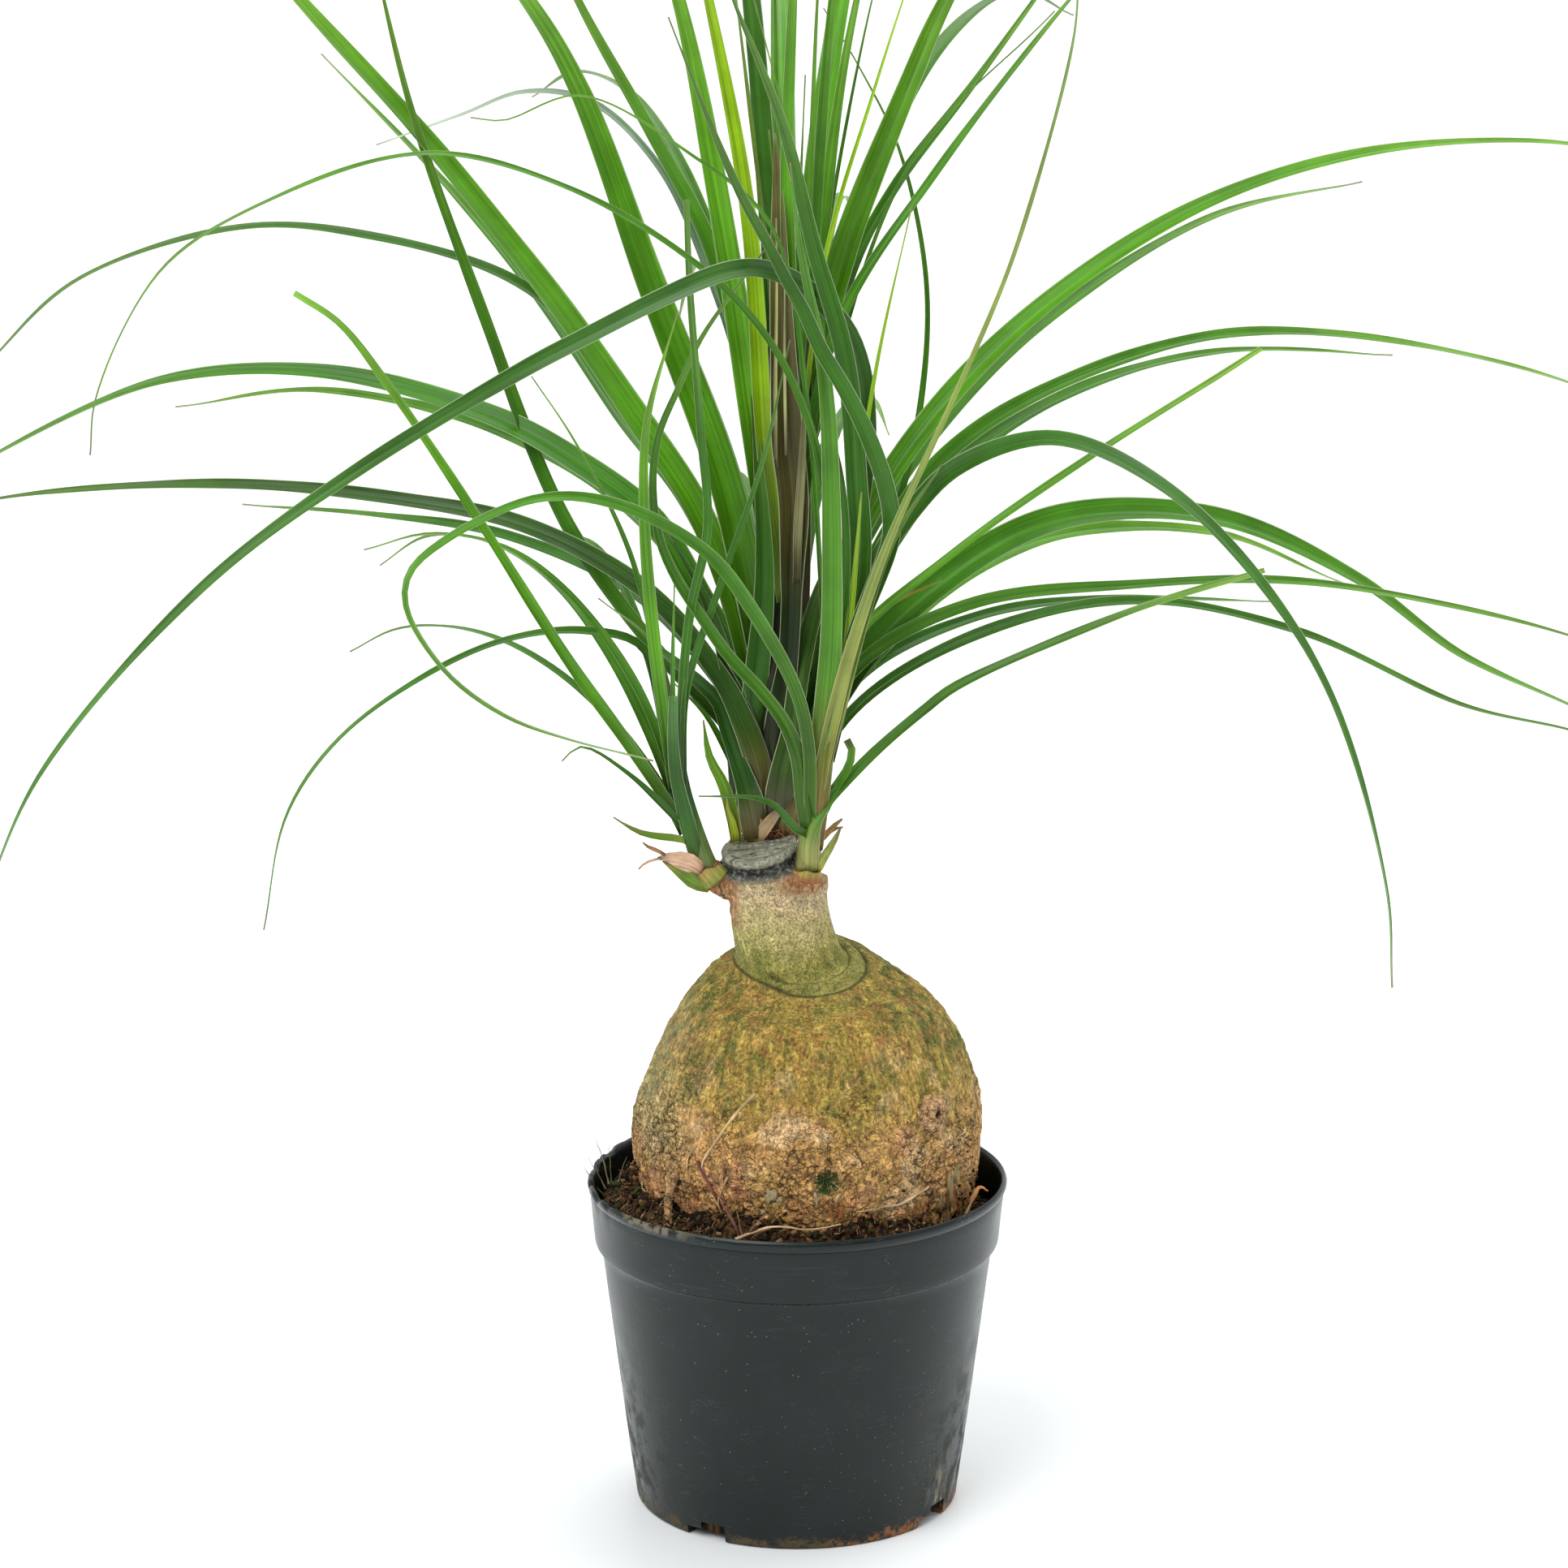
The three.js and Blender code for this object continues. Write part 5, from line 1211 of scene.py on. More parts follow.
def trunk_form():
    """The sawn-off trunk, with a worn edge, a groove below it and a crust."""
    radius = TRUNK_RADIUS
    profile = [(0, -14), (radius + 1.5, -14), (radius + 0.6, -7.5), (radius + 0.5, -5.2),
               (radius - 0.5, -4.4), (radius + 0.2, -1.5), (radius + 0.2, 0.2), (radius - 0.9, 0.45),
               (radius - 1.6, 0.1), (radius - 2.4, 0.2), (0, 0.1)]
    points, faces = turned(finer(profile, 1.0), TRUNK_SIDES)
    points = turn(turn(points, 0, TRUNK_LEAN), 1, -TRUNK_TILT)
    return points + TRUNK_TOP, faces


def on_trunk(points):
    """The same points as the sawn face sees them: its middle is 0 and its level is 0."""
    return turn(turn(points - TRUNK_TOP, 1, TRUNK_TILT), 0, -TRUNK_LEAN)


def knot_form():
    """A ring of bark round a small hole, at the front right."""
    angle = np.linspace(0, 2 * math.pi, 25)[:-1]
    ring = KNOT_RADIUS * np.column_stack([np.cos(angle), 0 * angle, np.sin(angle)])
    place, faces = tube(np.vstack([ring, ring[:1]]), KNOT_THICKNESS, 10)
    return turn(place, 2, KNOT_BEARING) + KNOT, faces


def limb_form(route, radii):
    path, run = smooth_path(route, 1.0)
    return tube(path, even_steps(run / run[-1], radii), LIMB_SIDES)


def even_skin(parts, cell):
    """One closed skin of even quads round overlapping parts: corners, quads and normals."""
    rough = Pile()
    for points, faces in parts:
        rough.add(points, faces)
    thing = mesh_object("rough_form", np.vstack(rough.points), rough.faces)
    remesh = thing.modifiers.new("even", "REMESH")
    remesh.mode, remesh.voxel_size = "VOXEL", cell * MM
    soften = thing.modifiers.new("soften", "SMOOTH")
    soften.factor, soften.iterations = 0.5, SOFTEN_ROUNDS
    bpy.context.view_layer.update()
    mesh = thing.evaluated_get(bpy.context.evaluated_depsgraph_get()).to_mesh()
    points = np.empty(len(mesh.vertices) * 3)
    mesh.vertices.foreach_get("co", points)
    normals = np.empty(len(mesh.vertices) * 3)
    mesh.vertex_normals.foreach_get("vector", normals)
    faces = [tuple(polygon.vertices) for polygon in mesh.polygons]
    bpy.data.objects.remove(thing)
    return points.reshape(-1, 3) / MM, faces, normals.reshape(-1, 3)


def zones(points):
    """Where the skin's points lie, and how far each belongs to a part of the caudex (0 to 1)."""
    x, y, z = points.T
    m = SimpleNamespace(x=x, y=y, z=z)
    m.middle_x = x - mid_of_neck(z)
    m.radius = np.hypot(m.middle_x, y)
    m.level = tilt_collar(points, -1)[:, 2]
    m.fold_out = np.hypot(m.middle_x - FOLD_SHIFT, y)
    m.from_knot = np.linalg.norm(points - KNOT, axis=1)
    # the sawn face, and the dark crust below its edge
    m.local = on_trunk(points)
    m.edge = np.hypot(m.local[:, 0], m.local[:, 1])
    m.face = ramp(m.local[:, 2], -3.0, -1.2) * ramp(m.edge, 13.6, 12.6)
    m.crust = (ramp(m.local[:, 2], -8.2, -6.4) * ramp(m.edge, 14.6, 13.6)
               * ramp(m.local[:, 1], 7, 1) * (1 - m.face))
    clear = (1 - m.face) * (1 - m.crust)
    # the bulb, what stands above its collar, and the three arms
    m.bulb = ramp(m.level, 188.5, 185)
    m.above = ramp(m.fold_out, 22.1, 21.4) * ramp(m.level, 182, 185)
    m.neck = m.above * clear
    left_arm = ramp(-x, 17.5, 21.5) * ramp(z, 198, 202)
    right_arm = ramp(z, 210.5, 214.5) * ramp(x, -8, -2) * ramp(-y, 1.5, 4)
    main_arm = ramp(z, 211, 215) * ramp(y, 2, 6) * ramp(np.abs(x + 8), 15, 12)
    m.arm = np.maximum(np.maximum(left_arm, right_arm), main_arm) * clear
    # noises that the relief and the colours share
    m.worn = grain(points, 17, 5.5, 2)
    m.broad = grain(points, 21, 1.5, 2)
    m.bumps = grain(points, 6.5, 2.5, 2)
    m.fine = grain(points, 1.9, 6.5, 2)
    m.green = grain(points * (1, 1, 0.5), 4.0, 51.5, 3)
    m.corky = np.clip(ramp(z, 172, 128) + 0.45 * m.worn, 0, 1) * m.bulb
    return m


def bark_cracks(points, m):
    """Corky plates low on the bulb, with cracks and chips between them."""
    swirl = jumble(points, 14, 3.1, 9.7, 15.3) * 2.6 + jumble(points, 3.6, 4.1, 8.7, 12.3) * 0.9
    m.plates, m.border = cells(points + swirl, (9.5, 9.5, 6.2))
    chip_border = cells(points + swirl * 0.7, (4.6, 4.6, 3.0), 31)[1]
    crack = ramp(m.border, 0.085, 0.0) * ramp(m.worn + 0.35 * ramp(m.z, 150, 110), -0.1, 0.4)
    wave = np.abs(grain(points * (1, 1, 1.9) + swirl * 1.3, 9.0, 101.5, 2))
    m.crack = np.maximum(crack, ramp(wave, 0.05, 0.0)) * m.corky
    m.chip = ramp(chip_border, 0.11, 0.0) * ramp(m.worn + 0.5 * ramp(m.z, 135, 105), 0.1, 0.5) * m.corky
    angle = np.arctan2(m.y, m.middle_x)
    around = np.column_stack([np.cos(angle) * 33, np.sin(angle) * 33, m.z / 10])
    m.wrinkles = grain(around, 1.0, 2.2, 2) * ramp(m.z, 128, 165) * m.bulb
    # rings and splits in the sawn face
    turned_x = m.local[:, 0] + 1.5 * grain(m.local, 6.0, 3.3)
    turned_y = m.local[:, 1] * 1.25 + 1.2 * grain(m.local, 5.0, 8.8)
    m.growth = np.sin(np.hypot(turned_x, turned_y) * 3.1 + 1.4 * grain(m.local, 4.0, 1.1))
    m.split = grain(m.local * (1, 1, 0), (5.5, 1.1, 1), 4.4, 2)


def relief(points, m):
    """How far the bark is lifted. The neck is nearly smooth, and the arms are crusty."""
    lift = m.broad * 0.55 + m.bumps * (0.32 + 0.2 * m.corky) + m.fine * (0.26 + 0.1 * m.corky)
    lift *= m.bulb
    lift += 0.9 * hump(m.from_knot, 3.4, 1.1) - 2.2 * ramp(m.from_knot, 1.8, 1.0)
    lift -= 0.7 * hump(m.from_knot, 7.4, 0.7)
    lift += 0.22 * (0.5 - m.plates) * m.corky
    lift += m.wrinkles * 0.4 - m.crack * 0.8 - m.chip * 0.4
    lift += m.neck * (m.bumps * 0.12 + m.fine * 0.05) + m.arm * (m.fine * 0.3 + m.bumps * 0.25)
    lift += m.face * (0.1 * m.growth + 0.26 * m.split)
    return lift + m.crust * (0.55 * grain(points, 2.2, 9.9, 2) - 0.15)


def coat(tint, *layers):
    """Colours laid over a tint, each with the share of it that they cover."""
    for tone, share in layers:
        tint = blend(tint, colour(tone) if isinstance(tone, str) else tone, share)
    return tint


def bark_tint(points, m):
    """The bulb's colours: ochre above and tan below, mossy above, at the sides and behind, with painted
    highlights on a spot at the front and along the plates' raised edges.
    """
    moss = colour("#5a6828")
    pale = "#ecc490"
    lower = ramp(m.z + 12 * m.worn, 154, 134)
    tint = coat(blend(colour("#c5a04a"), colour("#cf9e5e"), lower),
                (pale, ramp(grain(points, 12, 21.5, 2), 0.12, 0.55) * 0.7 * ramp(m.z, 178, 152)),
                ("#de9f6e", ramp(grain(points, 14, 33.5, 2), 0.0, 0.45) * (0.25 + 0.5 * lower)),
                ("#aa6a3c", ramp(grain(points, 6, 41.5, 2), 0.0, 0.5) * ramp(m.z, 142, 108) * 0.65))
    tint = tint * (1 + 0.24 * grain(points, 8.5, 47.5, 2) + 0.24 * m.fine)[:, None]
    flank = ramp(np.abs(m.middle_x) / np.maximum(m.radius, 1), 0.6, 0.95)
    damp = (ramp(m.z, 130, 176) * 0.62 + 0.35 * flank * ramp(m.z, 118, 150)
            + 0.35 * ramp(m.y, -10, 40) + 0.5 * grain(points, 24, 62.5, 2))
    sides = ramp(np.abs(m.middle_x), 16, 32) * ramp(m.z, 144, 162)
    streaks = (ramp(grain(points * (1, 1, 0.16), 2.4, 81.5, 2), 0.12, 0.4)
               * ramp(grain(points, 16, 91.5), -0.15, 0.25) * ramp(m.z, 144, 157))
    tint = coat(tint, ("#979248", np.clip(damp * (0.7 + 0.6 * m.green), 0, 0.8)),
                (moss, ramp(m.green + 0.6 * damp, 0.5, 1.1) * 0.5),
                (moss, sides * ramp(m.green, -0.15, 0.3) * 0.45),
                ("#46551f", streaks * 0.5),
                ("#b3a980", ramp(-m.middle_x, 30, 50) * ramp(m.z, 120, 140) * 0.4))
    tint = tint * (1 + 0.45 * m.wrinkles)[:, None]
    spots = ramp(grain(points, 4.5, 71.5, 2), 0.12, 0.5) * ramp(m.z, 150, 165)
    # a painted highlight: a pale spot on the front of the bulb
    from_highlight_spot = np.linalg.norm((points - PAINTED_HIGHLIGHT_SPOT) / (9, 20, 6), axis=1) + 0.5 * m.bumps
    tint = coat(tint, ("#a9713c", spots * 0.55), (pale, ramp(from_highlight_spot, 1.1, 0.6) * 0.75))
    # painted highlight: the plates are lighter along their raised edges beside the cracks
    raised = ramp(m.border, 0.3, 0.12) * (1 - m.crack) * m.corky
    tint = tint * (1 + 0.25 * raised)[:, None]
    tint = coat(tint, ("#2c1b0d", np.clip(np.maximum(m.crack, m.chip * 0.6), 0, 1) * 0.68))
    root = smooth_path(THICK_ROOT, 2.0)[0][1:]
    from_root = np.linalg.norm(points[:, None] - root, axis=2).min(axis=1)
    tint = coat(tint, (tint * 0.6 + moss * 0.2, ramp(m.z, 110, 98) * 0.25),
                ("#d9ab80", ramp(m.from_knot + 1.5 * m.bumps, 8, 6) * 0.85),
                (colour("#c39a6c") * (1 + 0.3 * m.fine)[:, None], ramp(from_root, 2.9, 2.2)),
                ("#24160c", ramp(m.from_knot, 1.9, 1.0)))
    return tint * (1.09 + 0.22 * ramp(m.z, 122, 106))[:, None]


def neck_tint(m):
    tint = blend(colour("#a39b52"), colour("#c9b882"), ramp(m.z + 5 * m.broad, 189, 207))
    tint = coat(tint, ("#c4a98a", ramp(m.z + 4 * m.bumps, 203, 211) * 0.7))
    tint = tint * (1 - 0.12 * ramp(m.radius, 17.6, 18.6))[:, None]
    return coat(tint, ("#6b7433", ramp(m.green + ramp(m.z, 203, 188) * 0.5, 0.35, 1.0) * 0.6))


def wood_tint(m):
    """The weathered saw cut, with a pale lip and a dark ring towards the front."""
    tint = blend(colour("#8e8f7a"), colour("#bbbba3"), ramp(m.split + 0.35 * m.growth, -0.5, 0.5))
    front = -m.local[:, 1]
    return coat(tint, ("#bdbda8", ramp(m.edge, 10.6, 11.3) * ramp(front, -2, 4) * 0.7),
                ("#3c3a34", hump(m.edge, 10.3, 0.32) * ramp(front, 2, 6) * 0.75),
                ("#33342d", ramp(-m.split, 0.32, 0.7) * 0.75))


def crust_tint(points, m):
    speck = ramp(grain(points, 1.25, 71.5, 2), 0.05, 0.5)
    low = blend(colour("#7f7f74"), colour("#b5ad9a"), speck)
    ash = blend(colour("#26272a"), colour("#8d8c86"), speck * 0.8)
    return coat(ash, (low, ramp(m.local[:, 2], -4.6, -6.2) * 0.7))


def caudex():
    parts = [bulb_form(), trunk_form(), knot_form()] + [limb_form(*limb) for limb in LIMBS]
    points, faces, normals = even_skin(parts, SKIN_CELL)
    m = zones(points)
    bark_cracks(points, m)
    shifted = points + normals * relief(points, m)[:, None]
    # the colours, from the photograph
    # painted shade: dark lines along the collar's two creases
    collar = hump(m.fold_out, 21.6, 0.5) + 0.9 * hump(m.radius, 18.1, 0.42)
    collar *= ramp(m.level, 185, 186.5) * ramp(m.level, 194, 191)
    brown = blend(colour("#a86a42"), colour("#d6a478"), ramp(grain(points, 2.6, 61.5, 2), -0.4, 0.5))
    # the split that rings the left arm
    elbow = hump(m.x + 0.35 * (m.z - 208), -23.4, 0.35) * ramp(m.z, 201, 204) * ramp(-m.x, 19, 21)
    tint = coat(bark_tint(points, m), (neck_tint(m), m.above),
                # painted shade in the collar's creases
                ("#2a2610", np.clip(collar, 0, 1) * 0.9),
                (brown, m.arm * 0.9),
                ("#2e1d12", np.clip(elbow, 0, 1) * 0.85),
                (wood_tint(m), m.face),
                (crust_tint(points, m), np.clip(m.crust, 0, 1)))
    values = {"shade": np.clip(tint, 0, 1), "neck": m.neck * (1 - m.arm),
              "face": np.maximum(m.face, m.crust), "corky": m.corky}
    return piece("caudex_skin", shifted, faces, values, cork_skin(), "cork_bark", "caudex")


bark = caudex()
bark_tree = BVHTree.FromObject(bark, bpy.context.evaluated_depsgraph_get())


def on_bark(u, v, lift=0.4):
    """The place on the caudex that the photograph shows at a pixel, raised by lift."""
    hit, normal, _, _ = bark_tree.ray_cast(Vector(EYE * MM), Vector(pixel_ray(u, v)))
    if hit is None:
        raise ValueError(f"no bark at {u}, {v}")
    return np.array(hit) / MM + np.array(normal) * lift

# --------------------------------------------------------------------------- pot


def pot_profile():
    """The pot's outline, up the outside, over the rim and down the inside."""
    foot, crease, band, rim = POT_BASE_RADIUS, BODY_TOP_RADIUS, BAND_FOOT_RADIUS, POT_RIM_RADIUS
    outside = [(0, 0), (foot - 1.6, 0), (foot - 0.7, 0.15), (foot - 0.15, 0.6), (foot, 1.2),
               (crease - 0.1, CREASE - 1.6), (crease + 0.25, CREASE - 0.9), (band - 1.0, CREASE - 0.1),
               (band - 0.25, CREASE + 0.35), (band, CREASE + 1.2)]
    lip = [(-0.9, -4.4), (-1.0, -4.0), (-0.5, -3.2), (-0.05, -2.2), (0, -1.4), (-0.3, -0.5),
           (-0.9, -0.02), (-1.5, -0.3), (-POT_WALL - 0.6, -1.2)]
    inside = [(band - POT_WALL, CREASE + 2.6), (crease - POT_WALL, CREASE - 0.8),
              (foot - POT_WALL, POT_FLOOR), (0, POT_FLOOR)]
    return outside + [(rim + out, POT_HEIGHT + up) for out, up in lip] + inside


def notch_cutter(width, height, shift, bearing):
    """A box across the pot's bottom edge, turned to its place round the pot."""
    box = np.array([(i, j, k) for i in (-1, 1) for j in (-1, 1) for k in (-1, 1)], float)
    box = box * (width / 2, NOTCH_REACH, height) + (shift, -POT_BASE_RADIUS, 0)
    return mesh_object("notch_cutter", turn(box, 2, bearing),
                       [(0, 1, 3, 2), (4, 6, 7, 5), (0, 4, 5, 1), (2, 3, 7, 6), (0, 2, 6, 4), (1, 5, 7, 3)])


def nursery_pot():
    points, faces = turned(finer(pot_profile(), 3.0), POT_SIDES)
    angle = np.arctan2(points[:, 1], points[:, 0])
    top = ramp(points[:, 2], 100, POT_HEIGHT)
    # thin plastic is never quite round, and its rim is torn at the left
    out = 0.35 * np.sin(2 * angle + 0.5) + 0.2 * np.sin(5 * angle + 2) * top
    torn_side = ramp(math.pi - np.abs(angle), 0.62, 0.3)
    jag = np.column_stack([angle * 16, np.zeros((len(angle), 2))])
    tear = np.clip(grain(jag, 1.0, 3.7, 2) + 0.25, 0, 1.2) * torn_side
    nick = np.clip(grain(jag, 0.35, 9.1) - 0.35, 0, 1) * 1.2
    points[:, 2] -= ramp(points[:, 2], 106, POT_HEIGHT) * (tear * 3.2 + nick)
    out = (out - 0.8 * tear * top) * ramp(points[:, 2], 0, 20)
    radius = np.hypot(points[:, 0], points[:, 1])
    points[:, :2] *= (1 + out / np.maximum(radius, 1) * (radius > 30))[:, None]
    thing = mesh_object("nursery_pot", points, faces)
    # each notch is stepped: a low wide box and a tall narrow one
    for index in range(NOTCH_COUNT):
        bearing = FIRST_NOTCH_ANGLE + index / NOTCH_COUNT * 2 * math.pi
        for width, height, shift in ((1, 0.55, 0), (0.6, 1, 3)):
            cut = thing.modifiers.new("notch", "BOOLEAN")
            cut.operation, cut.solver = "DIFFERENCE", "EXACT"
            cut.object = notch_cutter(width * NOTCH_WIDTH, height * NOTCH_HEIGHT, shift, bearing)
    bpy.context.view_layer.update()
    mesh = bpy.data.meshes.new_from_object(thing.evaluated_get(bpy.context.evaluated_depsgraph_get()))
    for cutter in [cut.object for cut in thing.modifiers]:
        bpy.data.objects.remove(cutter)
    thing.modifiers.clear()
    thing.data = mesh
    mesh.set_sharp_from_angle(angle=math.radians(38))
    mesh.materials.clear()
    mesh.materials.append(plastic_skin())
    dress(thing, "pot_plastic", "pot")


nursery_pot()

# -------------------------------------------------------------------------- soil

SOIL_SIDES = 400
EARTH = ("#3a281b", "#503a26", "#281d13", "#684b2c", "#1e170e", "#3c3620")


def lumps(x, y):
    """How far the soil's top is above its middle level; it is banked up in front."""
    waves = (0.5 * np.sin(x / 5.1 + 1.3) * np.cos(y / 4.3) + 0.4 * np.sin(x / 2.9 - y / 3.7)
             + 0.3 * np.cos(x / 9 + y / 6 + 2))
    out = np.maximum(np.hypot(x, y), 1)
    front = ramp(-y / out, 0.25, 0.8) * (1 - 0.25 * np.sin(x / 7.0 + 1))
    side = ramp(-x / out, 0.55, 0.9)
    bank = (9 * front + 4.5 * side) * ramp(out, 66.5, 57) + 2.2 * front + 1.5 * side
    return SOIL_LUMPS * waves + 1.6 * np.sin(x / 40 + 2.6) + bank


def soil():
    foot = POT_BASE_RADIUS - POT_WALL - SOIL_GAP
    top = BODY_TOP_RADIUS - POT_WALL - SOIL_GAP
    edge = foot + (top - foot) / CREASE * (CREASE - 1)
    rim = (edge + 1.2, SOIL_LEVEL)
    rings = finer([rim, (44, SOIL_LEVEL)], 0.75)
    profile = np.vstack([[(0, POT_FLOOR + SOIL_GAP), (foot, POT_FLOOR + SOIL_GAP), (edge, CREASE - 1)],
                         rings, [(20, SOIL_LEVEL), (0, SOIL_LEVEL)]])
    points, faces = turned(profile, SOIL_SIDES)
    x, y, z = points.T
    top = ramp(z, SOIL_LEVEL - 2, SOIL_LEVEL - 0.5)
    rough = grain(points, 3.4, 1.5, 2) * 0.9 + grain(points, 1.3, 7.5) * 0.5
    points[:, 2] += top * (lumps(x, y) + rough - 0.6)
    codes = np.array([colour(code) for code in EARTH])
    pick = np.clip(((grain(points, 3.0, 11.5, 2) + 1) * 3).astype(int), 0, len(codes) - 1)
    piece("potting_mix", points, faces, {"shade": codes[pick]}, earth_skin(), "soil", "soil")


soil()


def soil_top(x, y):
    return SOIL_LEVEL + float(lumps(np.array(x), np.array(y)))


def soil_bearing(index):
    """A random direction from the middle of the pot; every third one is towards the front."""
    return rng.uniform(0, 2 * math.pi) if index % 3 else rng.uniform(-2.7, -0.5)


def ball(divisions):
    """The corners and triangles of a round ball, to be knocked out of shape."""
    shape = bmesh.new()
    bmesh.ops.create_icosphere(shape, subdivisions=divisions, radius=1)
    points = np.array([vertex.co for vertex in shape.verts])
    faces = [tuple(vertex.index for vertex in face.verts) for face in shape.faces]
    shape.free()
    return points, faces


def crumb(pile, place, size, code, seed):
    """One rough bit of bark or peat."""
    points, faces = BALL
    spin = Vector((rng.gauss(0, 1), rng.gauss(0, 1), rng.gauss(0, 1))).normalized()
    matrix = np.array(Vector((0, 0, 1)).rotation_difference(spin).to_matrix())
    knocked = points * (1 + 0.6 * grain(points, 0.8, seed))[:, None]
    stretched = knocked * (size, size * rng.uniform(0.45, 0.8), size * rng.uniform(0.3, 0.65))
    shade = np.clip(colour(code) * rng.uniform(0.6, 1.25), 0, 1)
    pile.add(stretched @ matrix.T + place, faces, shade=np.broadcast_to(shade, points.shape))


BALL = ball(2)
CRUMB_COUNT = 1900
CRUMB_RING = (52, 64.6)  # they lie between these distances from the pot's middle
CRUMB_LIMIT = 65.2
BULB_CRUMB_COUNT = 380
crumbs = Pile()
placed = 0
while placed < CRUMB_COUNT:
    angle = soil_bearing(placed)
    radius = math.sqrt(rng.uniform(*(edge ** 2 for edge in CRUMB_RING)))
    x, y = radius * math.cos(angle), radius * math.sin(angle)
    size = rng.choice((0.4, 0.5, 0.6, 0.7, 0.9, 1.2, 1.7))
    if radius + size > CRUMB_LIMIT:
        continue
    level = soil_top(x, y) + rng.uniform(-0.4, 0.7)
    code = rng.choice(EARTH + ("#96643c", "#44552a", "#b08a5c") * (rng.random() < 0.35))
    crumb(crumbs, (x, y, level), size, code, placed * 0.37)
    placed += 1
for index in range(BULB_CRUMB_COUNT):  # some of it sticks to the foot of the bulb
    angle, height = rng.uniform(0, 2 * math.pi), SOIL_LEVEL + 2 + abs(rng.gauss(0, 8))
    out = Vector((math.cos(angle), math.sin(angle), 0))
    hit, normal, _, _ = bark_tree.ray_cast((out * 90 + Vector((0, 0, height))) * MM, -out)
    crumb(crumbs, np.array(hit) / MM + np.array(normal) * 0.1, rng.choice((0.35, 0.5, 0.7, 0.9)),
          rng.choice(EARTH + ("#a0704a", "#8a6038")), index * 0.51)
crumbs.build("soil_crumbs", earth_skin(), "soil")

# --------------------------------------------------- scales, roots and other litter

papery = dry_skin()


def scale_pile(wrapped, side, wrap, scraps):
    """The dry leaf feet of one shoot: one wraps it, and narrower ones stand out beside it."""
    pile = Pile()
    sheath(pile, *wrapped)
    for foot, widths, look, route in scraps:
        leaf(pile, max(widths), (0, 0, 0), look, route,
             {"side": side, "widths": widths, "foot": foot, "wrap": wrap})
    return pile


MAIN_WRAP = ((-8, 12.6, 221.5), (-7.6, 12.2, 227.5), 9.8, 10.3, -150, -20, ("#6d452c", "#96694a"))
LEFT_WRAP = ((-26.6, -4.1, 215.8), (-30.6, -4.8, 220.4), 4.9, 4.4, 130, 340, ("#9fa548", "#b59c54"), 0.6)
RIGHT_WRAP = ((2.7, -7.4, 216.4), (3.3, -7.7, 220.4), 4.9, 4.8, 180, 385, ("#b06f3e", "#b7a452"), 0.9)
scales = scale_pile(MAIN_WRAP, 1, 0.8, (
    ((4.4, 10), (4.4, 4.6, 4.2, 2.6), "tan", [
        (-9.6, -19.5, 1.5), (-7, -15.5, -0.2), (-4.4, -12, -0.6), (-2.2, -9.3, -0.6)]),
    ((2.6, 10), (2.6, 2.4, 1.2), "husk", [(-11.5, -19, 1.5), (-9.4, -14.6, 0.2), (-7.6, -11.4, 0)]),
    ((8, 10), (8, 6.8, 4.4, 0.6), "olive", [
        (0.6, -20, 3), (1.6, -14, 1), (2.8, -8, -0.6), (4.5, -1.8, -1.5)])))
FRINGE_COUNT = 34
for spot in range(FRINGE_COUNT):
    x = rng.uniform(-5, 8) - 8
    strand(scales, [(x, 3.5, 224 + rng.uniform(0, 3)),
                    (x + rng.uniform(-2, 2), 1.6, 227 + rng.uniform(0, 3)),
                    (x + rng.uniform(-5, 5), 1.4, 229 + rng.uniform(0, 5))],
           rng.uniform(0.18, 0.34), rng.choice(("#8a4a2a", "#a8693e", "#c39366", "#6b3a24")), kink=0.7)
scales.build("main_dry_scale", papery, "papery_sheath", "main_scale")

scales = scale_pile(LEFT_WRAP, -1, 1.15, (
    ((6.6, 12), (5, 6.6, 6.8, 5.6, 3.2, 0.8), "paper", [
        (-25.6, -29.5, -8), (-28.8, -27.2, -10.4), (-32.3, -25.4, -11), (-35.7, -24.6, -10.6),
        (-39, -24, -9.8), (-41.6, -24.4, -9.4)]),
    ((1.5, 16 / 3), (1.9, 1.5, 1.2, 0.5), "husk", [
        (-39, -23.4, -10), (-42, -21.7, -9.6), (-44.4, -20.8, -9), (-46.4, -19.2, -9)]),
    ((1, 16 / 3), (1.3, 1, 0.8, 0.5), "paper", [
        (-40.4, -24.4, -10), (-43, -25, -10), (-45.6, -26, -9.7), (-47.8, -28, -9.5)]),
    ((4.8, 25 / 3), (4, 4.8, 4.4, 3, 0.8), "bract", [
        (-24.2, -34, -6.5), (-28.6, -33, -8.9), (-32.3, -30.3, -9.9), (-35.9, -27.7, -9.8),
        (-39.8, -25.2, -9.4)])))
scales.build("left_dry_scale", papery, "papery_sheath", "left_scale")

scales = scale_pile(RIGHT_WRAP, 1, 0.9, (
    ((4.2, 6), (4.2, 3.4, 2.7, 2.2, 0.7), "prong", [
        (9.4, -29.4, -9.5), (13.3, -23.8, -11), (16.5, -18.6, -10.6), (18.5, -14.6, -9.8)]),
    ((2.2, 6), (2.2, 2.2, 1.8, 0.7), "husk", [
        (10.5, -20, -9), (13.6, -16.8, -9.4), (16.6, -13.6, -9), (19.2, -11.4, -8.5)]),
    ((1.2, 6), (1.2, 1.6, 1.2, 0.6), "husk", [
        (11.5, -18, -8.4), (14.6, -16, -9.2), (17.6, -14.4, -8.8), (19.4, -14.2, -8)])))
scales.build("right_dry_scale", papery, "papery_sheath", "right_scale")

